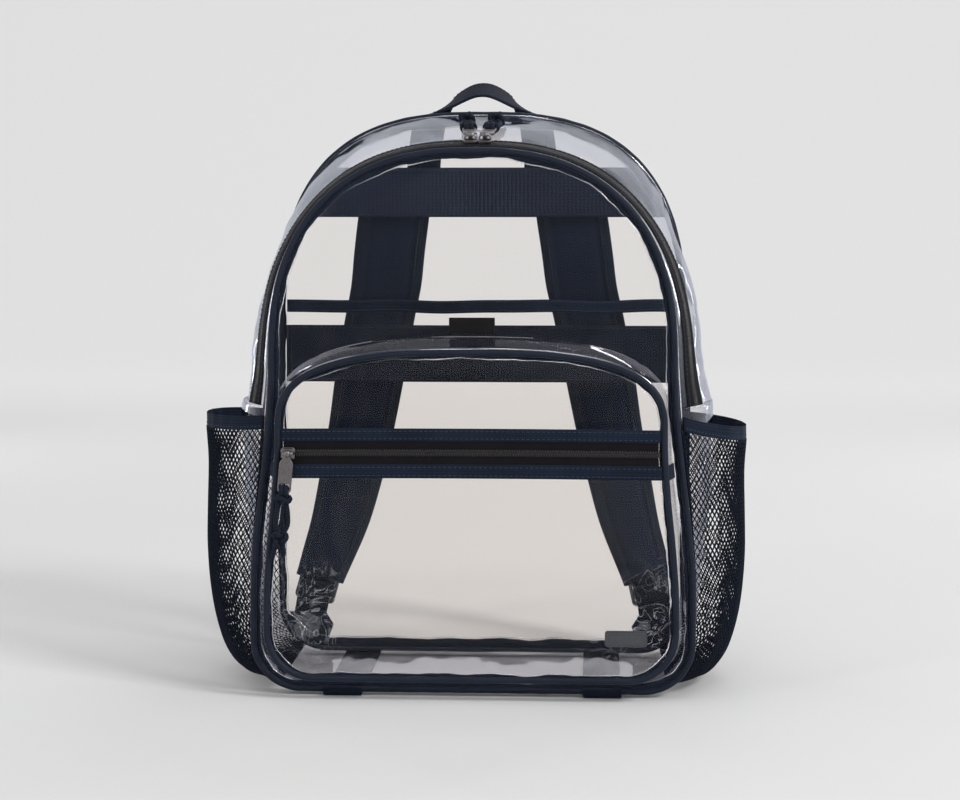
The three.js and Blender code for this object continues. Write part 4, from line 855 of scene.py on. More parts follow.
def makePiping(name, skin, seam, seamY, inwards, bindingLength, nodes, turnedIn, sideIn):
    look = pipingLook
    s = evenStations(seam, 0, wrap, look["step"])[:-1]
    run = runAlong(skin(s, seamY, 0))

    def uneven(wavelength, seed):
        return ripples(run, 0 * run, wavelength, seed)

    radius = piping["radius"]
    crinkle = 1 + look["crinkle"] * uneven(14, 5)
    welt = np.stack([skin(s, seamY, radius * math.cos(a) * crinkle) + np.array([0, radius * math.sin(a), 0])
                     for a in fullTurn(look["sides"])], 1)
    draft = Draft()
    addLoft(draft, welt, True)
    makePiece(name, draft, ["coatedPiping"], nodes)
    top = -(filmWall / 2 + gap) + 0.15
    low = top - piping["bindingWall"]
    end = bindingLength
    foldAt, foldEnd = end - look["fold"], end - look["foldIn"]
    section = [(low, look["fold"]), (low, foldAt), (low - 0.35, foldEnd), (low - 0.1, end), (top + 0.05, end),
               (top + 0.2, foldEnd), (top, foldAt), (top, look["fold"])]
    wobble = 0.25 * uneven(30, 9)
    ring = np.stack([skin(s, seamY + inwards * (y + wobble * (y > 3)), n) for n, y in section], 1)
    binding = Draft()
    addLoft(binding, ring, True)
    makePiece(f"{name}_binding", binding, ["bindingTape"])
    sewing = Draft()
    closed = np.append(s, s[0] + wrap)
    for n, up in ((top, 1), (low, -1)):
        stitchY = seamY + inwards * (end - look["stitchIn"])
        line = skin(closed, stitchY, n)
        sewLine(sewing, line, skin(closed, stitchY, n + up) - line)
    slopeZ = seamPoint(seam, s)[3]
    wavy = lerp(sideIn, turnedIn, smoothStep(0.1, 0.6, np.abs(slopeZ))) + 0.55 * uneven(44, 10) + 0.2 * uneven(15, 11)
    shares = np.array([0, 0.08, 0.5, 0.9, 1.0, 1.0, 0.9, 0.5, 0.08, 0])
    rises = np.array([0.1, 0.5, 0.5, 0.5, 0.2, -0.2, -0.5, -0.5, -0.5, -0.1]) * look["turnedWall"]
    rings = []
    for share, rise in zip(shares, rises):
        x, z, _, _ = seamPoint(seam, s, lerp(look["seat"], wavy, share))
        lift = 1.0 + 0.5 * share * (1 + 0.6 * uneven(33, 12))
        rings.append(np.stack([x, seamY + inwards * (lift + rise), z], -1))
    turned = Draft()
    addLoft(turned, np.stack(rings, 1), True)
    makePiece(f"{name}_turned_edge", turned, ["bindingTape"])
    beads = Draft()
    bead = look["bead"] * (1 + 0.35 * uneven(38, 13))
    back = look["beadBack"] + 0.5 * uneven(60, 14)
    outer = [skin(s, seamY + inwards * (back + 0.5 * math.sin(a)), look["beadOut"] + bead * math.cos(a))
             for a in fullTurn(6)]
    addLoft(beads, np.stack(outer, 1), True)
    x, z, nx, nz = seamPoint(seam, s, wavy + 0.7)
    inner = [np.stack([x + bead * math.cos(a) * nx, seamY + inwards * (0.1 + 0.4 * math.sin(a)) + 0 * x,
                       z + bead * math.cos(a) * nz], -1) for a in fullTurn(6)]
    addLoft(beads, np.stack(inner, 1), True)
    makePiece(f"{name}_film_edge", beads, ["vinylEdge"])
    makeStitching(f"{name}_stitching", sewing)


# the last two numbers: how far the turned-in tape reaches along the top and bottom, and up the sides
makePiping("back_seam_piping", bagSkin, backSeam, backY, -1, piping["mainBinding"], ["back_piping"], 10.5, 4.8)
makePiping("front_seam_piping", bagSkin, frontSeam, frontY, 1, piping["mainBinding"], frontPipingNodes, 7.4, 7.0)
makePiping("pocket_seam_piping", pocketSkin, pocketSeam, pocketY, 1, piping["pocketBinding"], ["pocket_piping"],
           5.7, 5.7)
print("piping sewn")

# Films

film = {"wall": 0.5, "step": 3.0, "sag": 0.5}


def filmPanel(name, seam, y, nodes, low=None, high=None, relief=None, finish="clearVinyl"):
    z, half = seamRows(seam, panelInset - 0.35, film["step"], low, high)
    columns = int(2 * half.max() / film["step"])
    share = np.linspace(-1, 1, columns + 1)
    x = half[:, None] * share[None]
    zz = np.broadcast_to(z[:, None], x.shape)
    edge = np.minimum(half[:, None] - np.abs(x), np.minimum(zz - z.min(), z.max() - zz))
    free = smoothStep(0, 14, edge)
    depth = film["sag"] * ripples(x, zz, 90, 3) * free
    pucker = 0.22 * ripples(x + zz, x - zz, 13, 8) * smoothStep(0, 4, edge) * (1 - smoothStep(8, 22, edge))
    yy = y + depth + pucker
    if relief is not None:
        yy = yy + relief(x, zz, edge)
    draft = Draft()
    addShell(draft, np.stack([x, yy, zz], -1), film["wall"])
    return makePiece(name, draft, [finish], nodes)


# Creases pressed into the pocket's lower corners, sharp at their ridges
def pocketRelief(x, z, edge):
    corner = np.exp(-(((np.abs(x) - 112) / 34) ** 2) - ((z - 66) / 46) ** 2)
    crumple = np.abs(ripples(x, z, 30, 21)) - 0.6 + 0.5 * np.abs(ripples(x, z, 15, 22))
    bottom = 0.35 * ripples(x * 0.35, z, 16, 23) * np.exp(-((z - 24) / 12) ** 2)
    return (-1.15 * crumple * corner + bottom) * smoothStep(0, 7, edge)


def frontRelief(x, z, edge):
    top = 0.5 * ripples(x, z * 0.5, 26, 31) * smoothStep(300, 360, z)
    low = 0.5 * ripples(x * 0.4, z, 18, 32) * (1 - smoothStep(20, 60, z))
    return (top + low) * smoothStep(0, 9, edge) * (np.abs(z - 260) > 12)


def backRelief(x, z, edge):
    return 0.7 * ripples(x * 0.4, z, 22, 41) * (1 - smoothStep(20, 70, z)) * smoothStep(0, 9, edge)


filmPanel("front_film", frontSeam, frontY, ["front_panel"], relief=frontRelief)
filmPanel("back_film", backSeam, backY, ["back_panel"], relief=backRelief)
lowerHigh = nodeBox("pocket_panel_lower")[1][2]
upperLow = nodeBox("pocket_panel_upper")[0][2]
filmPanel("pocket_film_lower", pocketSeam, pocketY, ["pocket_panel_lower"], high=lowerHigh + 0.5,
          relief=pocketRelief, finish="creasedVinyl")
filmPanel("pocket_film_upper", pocketSeam, pocketY, ["pocket_panel_upper"], low=upperLow - 0.5)


def gussetFilm(name, skin, s, ys, nodes, loop=False, wave=1.0, seed=51):
    run = runAlong(skin(s, 0 * s + ys.mean(), 0))
    edge = np.minimum(ys - ys.min(), ys.max() - ys)[None]
    long = ripples(run[:, None], ys[None] * 0.45, 70, seed) * 1.1
    short = ripples(run[:, None], ys[None] * 0.3, 19, seed + 1) * 0.28
    seamRoll = 0.3 * np.exp(-(edge / 3.5) ** 2)
    fade = smoothStep(0, 12, edge)
    if loop:  # no waves where the film's ends meet
        turn = run / run[-1]
        fade = fade * (smoothStep(0, 0.02, turn) * (1 - smoothStep(0.98, 1, turn)))[:, None]
    draft = Draft()
    addShell(draft, skin(s[:, None], ys[None], wave * (long + short) * fade - seamRoll), film["wall"])
    return makePiece(name, draft, ["clearVinyl"], nodes)


# Places through a depth, closer together at both ends
def depths(low, high, count):
    share = (1 - np.cos(np.linspace(0, math.pi, count))) / 2
    return lerp(low, high, lerp(np.linspace(0, 1, count), share, 0.5))


lowEnd = float(stationAt(frontSeam, 202.7))
lowStations = evenStations(backSeam, -lowEnd, lowEnd, film["step"])
gussetFilm("lower_gusset_film", bagSkin, lowStations, depths(frontY + filmStart, backY - filmStart, 34),
           ["lower_gusset"])
zipY = nodeMiddle("main_zipper_coil", 1)
highStations = evenStations(backSeam, stations["split"], wrap - stations["split"], film["step"])
frontFilmEdge = nodeBox("upper_gusset_front")[1][1]
rearFilmEdge = nodeBox("upper_gusset_rear")[0][1]
gussetFilm("upper_gusset_film_front", bagSkin, highStations, depths(frontY + filmStart, frontFilmEdge, 8),
           ["upper_gusset_front"], wave=0.35, seed=61)
gussetFilm("upper_gusset_film_rear", bagSkin, highStations, depths(rearFilmEdge, backY - filmStart, 26),
           ["upper_gusset_rear"], wave=1.0, seed=71)
pocketStations = evenStations(pocketSeam, 0.001, wrap - 0.001, film["step"])
gussetFilm("pocket_gusset_film", pocketSkin, pocketStations,
           depths(pocketY + filmStart, nodeBox("pocket_gusset")[1][1], 12), ["pocket_gusset"],
           loop=True, wave=0.3, seed=81)

sleeve = {"top": 262, "inset": 6.2, "belly": 14, "bindingWall": 2.5}


def sleeveGrid(z, across, standOff):
    half = halfAt(backSeam, z, sleeve["inset"])
    rise = np.sin(np.minimum(z / sleeve["top"], 1) * math.pi / 2)
    belly = sleeve["belly"] * rise[:, None] * (1 - across[None] ** 2)
    x = half[:, None] * across[None]
    y = backY - filmWall / 2 - gap - standOff - belly
    return np.stack([x, y, np.broadcast_to(z[:, None], x.shape)], -1)


def makeSleeve():
    across = np.linspace(-1, 1, 91)
    z = lerp(seamBottom + sleeve["inset"], sleeve["top"] + 1, np.linspace(0, 1, 86) ** 1.15)
    grid = sleeveGrid(z, across, filmWall / 2)
    crease = 0.6 * ripples(grid[..., 0] * 0.5, grid[..., 2], 34, 91)
    fade = smoothStep(0, 0.12, 1 - np.abs(across))[None] * smoothStep(0, 30, z - z[0])[:, None]
    grid[..., 1] -= (crease + 0.7) * fade
    draft = Draft()
    addShell(draft, grid, film["wall"])
    panel = makePiece("sleeve_film", draft, ["clearVinyl"], ["sleeve_panel"])
    low, high = nodeBox("sleeve_binding")[0][2], nodeBox("sleeve_binding")[1][2]
    section = tapeSection(high - low, 1.9, 3, 6)
    line = np.linspace(-1, 1, 111)
    spine = sleeveGrid(np.array([(low + high) / 2]), line, sleeve["bindingWall"] / 2)[0]
    spine[:, 2] += 0.5 * ripples(spine[:, 0], 0 * line, 80, 93)
    rings = ribbonRings(spine, np.broadcast_to([0.0, 0.0, 1.0], spine.shape), section)
    binding = Draft()
    addLoft(binding, rings)
    tape = makePiece("sleeve_edge_binding", binding, ["bindingTape"], ["sleeve_binding"])
    sewing = Draft()
    for up in (-3.1, 3.3):
        for face in (-1, 1):
            sewAlong(sewing, spine + [0, face * 0.95, up], [0, face, 0])
    makeStitching("sleeve_stitching", sewing)


makeSleeve()
print("films stretched")

# Main zipper

teeth = {"pitch": 1.75, "radius": 0.52, "reach": 3.1, "lift": 0.35}


# Two rows of turns that mesh in the middle, one row half a pitch behind the other
def addCoil(draft, skinAt, run, coil):
    for side, start in ((-1, 0.25), (1, 0.75)):
        at = np.arange(start * teeth["pitch"], run[-1] - 0.5, teeth["pitch"])
        centre, up = skinAt(at, side * coil * 0.21)
        outer, _ = skinAt(at, side * coil * 0.46)
        addBars(draft, centre, outer - centre, up, teeth["reach"], teeth["radius"], teeth["lift"])


def makeMainZipper():
    s = highStations
    run = runAlong(bagSkin(s, zipY, 0))
    for name, node in (("front", "main_zipper_tape_front"), ("rear", "main_zipper_tape_rear")):
        low, high = nodeBox(node)[0][1], nodeBox(node)[1][1]
        ys = np.linspace(low - 0.9, high + 0.9, 7)  # it runs on beneath the film and the teeth
        draft = Draft()
        addShell(draft, bagSkin(s[:, None], ys[None], -0.25 + 0.1 * np.sin(run / 9)[:, None]), 0.9)
        makePiece(f"main_zipper_cloth_{name}", draft, ["zipperTape"], [node])
        sewing = Draft()
        y = low + 1.6 if name == "front" else high - 1.6
        line = bagSkin(s, y, 0.45)
        sewLine(sewing, line, bagSkin(s, y, 1.45) - line)
        makeStitching(f"main_zipper_stitching_{name}", sewing)
    base = Draft()
    addShell(base, bagSkin(s[:, None], zipY + np.array([-2.9, -1.4, 0, 1.4, 2.9])[None], -0.35), 0.9)

    def skinAt(at, across):
        station = np.interp(at, run, s)
        spot = bagSkin(station, zipY + across, 0.35)
        return spot, bagSkin(station, zipY + across, 1.35) - spot

    addCoil(base, skinAt, run, 6)
    makePiece("main_zipper_chain", base, ["nylonCoil"], ["main_zipper_coil"])


makeMainZipper()

# Front pocket's zipper, bindings and tabs


# A straight tape across the pocket, in the middle of its node
def bandPiece(name, node, wall, material, bow=0.0, rows=8, more=0.0, back=0.0):
    low, high = nodeBox(node)
    z = (low[2] + high[2]) / 2
    half = halfAt(pocketSeam, z, panelInset - 0.3)
    line = np.linspace(-half, half, 121)
    lift = bow * (1 - (line / half) ** 2)
    spine = np.stack([line, 0 * line + pocketY + back, z + lift], 1)
    draft = Draft()
    section = tapeSection(high[2] - low[2] + 2 * more, wall, 3, rows)
    addLoft(draft, ribbonRings(spine, np.broadcast_to([0.0, 0.0, 1.0], spine.shape), section))
    return makePiece(name, draft, [material], [node]), spine


def makePocketZipper():
    for part, inset in (("upper", (2.0, 7.0)), ("lower", (2.0, 7.6))):
        node = f"pocket_zipper_binding_{part}"
        _, spine = bandPiece(f"pocket_zip_binding_{part}", node, 1.8, "bindingTape", 0.6)
        tall = nodeBox(node)[1][2] - nodeBox(node)[0][2]
        sewing = Draft()
        for up in inset:
            for face in (-1, 1):
                sewAlong(sewing, spine + [0, face * 0.9, up - tall / 2], [0, face, 0])
        makeStitching(f"pocket_zip_stitching_{part}", sewing)
        bandPiece(f"pocket_zip_cloth_{part}", f"pocket_zipper_tape_{part}", 0.9, "zipperTape", 0.6,
                  more=1.3, back=0.35)
    low, high = nodeBox("pocket_zipper_coil")
    half = halfAt(pocketSeam, pocketZip["middle"], panelInset)
    line = np.linspace(-half, half, 121)
    rise = 0.6 * (1 - (line / half) ** 2)
    spine = np.stack([line, 0 * line + pocketY + 0.35, pocketZip["middle"] + rise], 1)
    chain = Draft()
    addLoft(chain, ribbonRings(spine, np.broadcast_to([0.0, 0.0, 1.0], spine.shape), tapeSection(4.8, 0.9, 2, 4)))
    run = line + half

    def skinAt(at, across):
        up = np.interp(at, run, rise)
        spot = np.stack([at - half, 0 * at + pocketY - 0.3, pocketZip["middle"] + up + across], 1)
        return spot, np.broadcast_to([0.0, -1.0, 0.0], spot.shape)

    addCoil(chain, skinAt, run, 5)
    makePiece("pocket_zipper_chain", chain, ["nylonCoil"], ["pocket_zipper_coil"])
    for name, sign in (("left", -1), ("right", 1)):
        node = f"zipper_end_tab_{name}"
        low, high = nodeBox(node)
        s = sign * np.linspace(float(stationAt(pocketSeam, low[2])), float(stationAt(pocketSeam, high[2])), 8)
        ys = np.linspace(low[1], high[1], 10)
        grid = pocketSkin(s[:, None], ys[None], filmWall / 2 + gap + 0.4)
        draft = Draft()
        addShell(draft, grid, 0.8)
        makePiece(f"zip_end_tab_{name}", draft, ["bindingTape"], [node])
        sewing = Draft()
        line = pocketSkin(s, ys[-1] - 2, filmWall / 2 + gap + 0.85)
        sewLine(sewing, line, pocketSkin(s, ys[-1] - 2, filmWall / 2 + gap + 1.85) - line, pitch=3)
        makeStitching(f"zip_end_tab_stitching_{name}", sewing)


makePocketZipper()
print("zippers fitted")

# Plates cut from outlines: label, patch, anchors, buckles, pullers


def roundedOutline(width, height, radius, x=0.0, y=0.0, steps=5):
    spots = []
    for cx, cy, start in ((1, 1, 0), (-1, 1, 90), (-1, -1, 180), (1, -1, 270)):
        for a in np.radians(np.linspace(start, start + 90, steps)):
            spots.append((x + cx * (width / 2 - radius) + radius * math.cos(a),
                          y + cy * (height / 2 - radius) + radius * math.sin(a)))
    return np.array(spots)


# A plate with bevelled edges: the first outline is its edge, the others are its holes
def plateMesh(outlines, wall, bevel):
    data = bpy.data.curves.new("outline", "CURVE")
    data.dimensions = "2D"
    data.fill_mode = "BOTH"
    data.extrude = wall / 2 - bevel
    data.bevel_depth = bevel
    data.bevel_resolution = 2
    data.offset = -bevel
    for number, outline in enumerate(outlines):
        outline = outline if number == 0 else outline[::-1]
        spline = data.splines.new("POLY")
        spline.points.add(len(outline) - 1)
        spline.points.foreach_set("co", np.concatenate([outline, np.zeros((len(outline), 1)),
                                                       np.ones((len(outline), 1))], 1).ravel())
        spline.use_cyclic_u = True
    holder = bpy.data.objects.new("outline", data)
    bpy.context.scene.collection.objects.link(holder)
    ready = holder.evaluated_get(bpy.context.evaluated_depsgraph_get())
    mesh = bpy.data.meshes.new_from_object(ready)
    bpy.data.objects.remove(holder)
    bpy.data.curves.remove(data)
    shape = bmesh.new()
    shape.from_mesh(mesh)
    bmesh.ops.remove_doubles(shape, verts=shape.verts, dist=1e-4)
    bmesh.ops.recalc_face_normals(shape, faces=shape.faces)
    points = np.array([vert.co for vert in shape.verts])
    faces = [[vert.index for vert in face.verts] for face in shape.faces]
    shape.free()
    bpy.data.meshes.remove(mesh)
    return points, faces


def addPlate(draft, outlines, wall, bevel, matrix, slot=0):
    points, faces = plateMesh(outlines, wall, bevel)
    places = [points[face][:, :2] for face in faces]
    draft.add(placed(points, matrix), faces, places, slot)


# Blocks with rounded edges, in the pull's own axes
def addBlock(draft, size, middle, bevel, matrix, slot=0):
    shape = bmesh.new()
    bmesh.ops.create_cube(shape, size=1)
    bmesh.ops.transform(shape, matrix=Matrix.Translation(middle) @ Matrix.Diagonal((*size, 1)), verts=shape.verts)
    bmesh.ops.bevel(shape, geom=list(shape.edges), offset=bevel, segments=2, affect="EDGES", profile=0.6)
    points = np.array([vert.co for vert in shape.verts])
    shape.verts.ensure_lookup_table()
    faces = [[vert.index for vert in face.verts] for face in shape.faces]
    shape.free()
    places = [points[face][:, :2] for face in faces]
    draft.add(placed(points, matrix), faces, places, slot)


upright = Matrix.Rotation(math.radians(90), 4, "X")  # a flat outline stood up to face -Y


# Middle, size and upright frame of a node on the bag's face
def facePlace(node):
    low, high = nodeBox(node)
    middle = (low + high) / 2
    return middle, high - low, Matrix.Translation(Vector(middle)) @ upright


def makeLabels():
    _, size, stand = facePlace("front_label")
    draft = Draft()
    addPlate(draft, [roundedOutline(size[0], size[2], 0.6)], 0.7, 0.2, stand)
    for x in (-size[0] / 2 + 1.3, size[0] / 2 - 1.3):  # the folded ends stand a little proud
        addPlate(draft, [roundedOutline(2.1, size[2] - 0.3, 0.5, x)], 0.95, 0.25, stand)
    makePiece("bare_front_label", draft, ["labelSatin"], ["front_label"], angle=40)
    middle, size, stand = facePlace("rubber_patch")
    draft = Draft()
    addPlate(draft, [roundedOutline(size[0], size[2], 2)], 0.9, 0.3, stand)
    rim = [roundedOutline(size[0], size[2], 2), roundedOutline(size[0] - 1.7, size[2] - 1.7, 1.3)]
    addPlate(draft, rim, 1.3, 0.25, stand)
    makePiece("bare_rubber_patch", draft, ["softRubber"], ["rubber_patch"], angle=40)
    sewing = Draft()
    edge = roundedOutline(size[0] - 3.4, size[2] - 3.4, 1.2)
    face = nodeBox("rubber_patch")[0][1] + 0.12
    line = np.stack([middle[0] + edge[:, 0], 0 * edge[:, 0] + face, middle[2] + edge[:, 1]], 1)
    sewAlong(sewing, np.concatenate([line, line[:1]]), [0, -1, 0], pitch=2.9)
    makePiece("rubber_patch_stitching", sewing, ["softRubber"])


makeLabels()

# Back of the bag: yoke, luggage band, handle

yoke = {"ribPitch": 3.0, "ribDepth": 0.28, "wave": 0.55}


def facedBand(name, node, material, wall, relief, columns, rowStep):
    low, high = nodeBox(node)
    z = np.linspace(low[2], high[2], int((high[2] - low[2]) / rowStep) + 1)
    half = halfAt(backSeam, z, 4.9)
    share = np.linspace(-1, 1, columns + 1)
    x = half[:, None] * share[None]
    zz = np.broadcast_to(z[:, None], x.shape)
    y = (low[1] + high[1]) / 2 + relief(x, zz, (zz - low[2]) / (high[2] - low[2]))
    draft = Draft()
    addShell(draft, np.stack([x, y, zz], -1), wall)
    return makePiece(name, draft, [material], [node]), z, half


def yokeRelief(x, z, up):
    inside = smoothStep(0, 0.12, np.minimum(up, 1 - up))
    ribs = yoke["ribDepth"] * np.sin(2 * math.pi * x / yoke["ribPitch"]) * inside
    return ribs + yoke["wave"] * ripples(x, z * 0.3, 62, 101)


def bandRelief(x, z, up):
    return 0.35 * ripples(x, z, 70, 111) + 0.9 * up * (1 - up)


def makeBackBands():
    facedBand("yoke_tape", "yoke", "yokeTape", 2.6, yokeRelief, 420, 2.3)
    low, high = nodeBox("yoke")
    front = low[1] + 0.35
    sewing = Draft()
    for z in (low[2] + 2.2, high[2] - 2.2):
        half = float(halfAt(backSeam, z, 4.9)) - 2
        line = np.stack([np.linspace(-half, half, 90), np.full(90, front), np.full(90, z)], 1)
        line[:, 1] += yoke["wave"] * ripples(line[:, 0], line[:, 2] * 0.3, 62, 101)
        sewAlong(sewing, line, [0, -1, 0], pitch=3.2)
        sewAlong(sewing, line + [0, 2.9, 0], [0, 1, 0], pitch=3.2)
    makeStitching("yoke_stitching", sewing)
    band, z, _ = facedBand("luggage_band_cloth", "luggage_band", "bindingTape", 1.3, bandRelief, 110, 2.4)
    low, high = nodeBox("luggage_band")
    sewing = Draft()
    for sign in (-1, 1):
        inner = halfAt(backSeam, z, 4.9) - 4
        line = np.stack([sign * inner, np.full(len(z), low[1] - 0.05), z], 1)
        line[:, 1] += 0.35 * ripples(line[:, 0], z, 70, 111)
        sewAlong(sewing, line, [0, -1, 0])
    for up in (2.0, high[2] - low[2] - 2.0):
        wide = float(halfAt(backSeam, low[2] + up, 4.9)) - 4
        line = np.stack([np.linspace(-wide, wide, 90), np.full(90, high[1]), np.full(90, low[2] + up)], 1)
        sewAlong(sewing, line, [0, 1, 0])
        sewAlong(sewing, line * [1, 0, 1] + [0, low[1] - 0.05, 0], [0, -1, 0])
    makeStitching("luggage_band_stitching", sewing)
    wide = 2 * float(halfAt(backSeam, (low[2] + high[2]) / 2, 4.9)) / metre


handle = {"width": 25, "footX": 45, "wall": 1.8, "apex": 428.8, "apexTilt": 0.44, "lean": 0.75}
handlePath = [
    {"up": 0, "out": 1, "turn": 0},
    {"up": 0.322, "out": 0.978, "turn": 0},
    {"up": 0.549, "out": 0.933, "turn": 0},
    {"up": 0.692, "out": 0.878, "turn": 0.12}, {"up": 0.8, "out": 0.733, "turn": 0.45},
    {"up": 0.895, "out": 0.489, "turn": 0.85},
    {"up": 0.978, "out": 0.2, "turn": 1},
    {"up": 1, "out": 0, "turn": 1},
]


def makeHandle():
    low, _ = nodeBox("handle")
    footY = nodeBox("yoke")[1][1] + gap + handle["wall"] / 2
    rows = [[row["out"] * handle["footX"], lerp(low[2], handle["apex"], row["up"]), row["turn"]] for row in handlePath]
    rows += [[-x, z, turn] for x, z, turn in rows[-2::-1]]
    fine = smoothLine(rows, 141)
    turn = np.clip(fine[:, 2], 0, 1)
    side = np.sign(fine[:, 0])
    side[side == 0] = 1
    flat = np.array([0, -math.cos(handle["apexTilt"]), -math.sin(handle["apexTilt"])])
    across = unit(lerp(np.array([1.0, 0, 0])[None] * side[:, None], flat[None], turn[:, None]))
    y = footY + np.abs(across[:, 1]) * handle["width"] / 2 * handle["lean"]
    path = np.stack([fine[:, 0], y, fine[:, 1]], 1)
    # keep the width's direction from flipping where the two halves meet
    for k in range(1, len(across)):
        if np.dot(across[k], across[k - 1]) < 0:
            across[k] = -across[k]
    draft = Draft()
    addLoft(draft, ribbonRings(path, across, tapeSection(handle["width"], handle["wall"], 3, 10)))
    makePiece("carry_handle", draft, ["webbing"], ["handle"])
    out = unit(np.cross(unit(np.gradient(path, axis=0)), across))
    sewing = Draft()
    for edge in (-1, 1):
        for face in (-1, 1):
            line = path + across * edge * (handle["width"] / 2 - 2.2) + out * face * handle["wall"] / 2
            sewLine(sewing, line, out * face)
    makeStitching("carry_handle_stitching", sewing)


makeBackBands()
makeHandle()
print("yoke, band and handle sewn on")

# Shoulder straps, adjusters and anchors

strapRows = [
    {"fall": 0, "out": 0, "width": 0.93, "bow": 0, "pad": 0.4},
    {"fall": 0.054, "out": 0.04, "width": 0.98, "bow": 0, "pad": 0.55},
    {"fall": 0.115, "out": 0.078, "width": 1, "bow": 0.01, "pad": 0.8},
    {"fall": 0.204, "out": 0.14, "width": 1, "bow": 0.19, "pad": 0.95},
    {"fall": 0.29, "out": 0.195, "width": 1, "bow": 0.42, "pad": 1},
    {"fall": 0.374, "out": 0.29, "width": 1, "bow": 0.68, "pad": 1},
    {"fall": 0.51, "out": 0.42, "width": 1, "bow": 0.885, "pad": 1},
    {"fall": 0.62, "out": 0.515, "width": 0.963, "bow": 0.985, "pad": 1},
    {"fall": 0.7, "out": 0.594, "width": 0.944, "bow": 1, "pad": 1},
    {"fall": 0.75, "out": 0.648, "width": 0.926, "bow": 0.97, "pad": 1},
    {"fall": 0.86, "out": 0.773, "width": 0.86, "bow": 0.78, "pad": 1},
    {"fall": 0.94, "out": 0.9, "width": 0.79, "bow": 0.56, "pad": 0.95},
    {"fall": 1, "out": 1, "width": 0.7, "bow": 0.364, "pad": 0.6},
]
strap = {
    "end": 56, "topX": 62.5, "endX": 126.5, "width": 54, "pad": 9, "bow": 42, "edge": 8.5,
    "seam": 0.808,  # share of the fall where the webbing is sewn in
}
strapStand = filmWall / 2 + gap + 4 + gap + 1.8 + gap
webTape = {"width": 25, "wall": 1.4, "tail": 24, "tailOut": 6}
buckle = {"width": 31, "length": 20, "wall": 4, "bar": 3.5, "slot": 4.5}
anchor = {"left": 114, "top": 32, "wall": 2.2, "inset": 6.5, "webX": 134, "webLow": 11, "webHigh": 24}


def strapSpot(fall, side):
    top = nodeBox("shoulder_strap_left")[1][2]
    x = side * lerp(strap["topX"], strap["endX"], tableValue(strapRows, "fall", fall, "out"))
    y = backY + lerp(strapStand, strap["bow"], tableValue(strapRows, "fall", fall, "bow"))
    return np.stack([x, y, lerp(top, strap["end"], fall)], -1)


def buckleFrame(side):
    padEnd = strapSpot(np.array([1.0]), side)[0]
    padWall = strap["pad"] * 0.6
    padEnd[1] += padWall / 2
    tabFace = backY + filmWall / 2 + gap + anchor["wall"] + gap + webTape["wall"] / 2
    down = unit(np.array([side * anchor["webX"], tabFace, anchor["webHigh"]]) - padEnd)
    across = unit(np.array([1.0, 0, 0]) - down * down[0])
    out = np.cross(across, down)
    centre = padEnd + down * (buckle["length"] / 2 + gap)
    return {"padEnd": padEnd, "padWall": padWall, "centre": centre, "down": down, "across": across, "out": out,
            "tabFace": tabFace}


# The pad's section: share across, share out, and 1 where the edge binding covers it
def padSection(width):
    edge = strap["edge"] / width
    top = [(0.499, 0.12, 1), (0.488, 0.30, 1), (0.45, 0.40, 1), (0.5 - edge * 0.75, 0.44, 1), (0.5 - edge, 0.43, 1),
           (0.492 - edge, 0.36, 0), (0.44 - edge, 0.46, 0), (0.22, 0.5, 0), (0.11, 0.515, 0), (0.0, 0.52, 0)]
    row = top + [(-x, y, flag) for x, y, flag in top[-2::-1]]
    return np.array(row + [(-x, -y, flag) for x, y, flag in row])


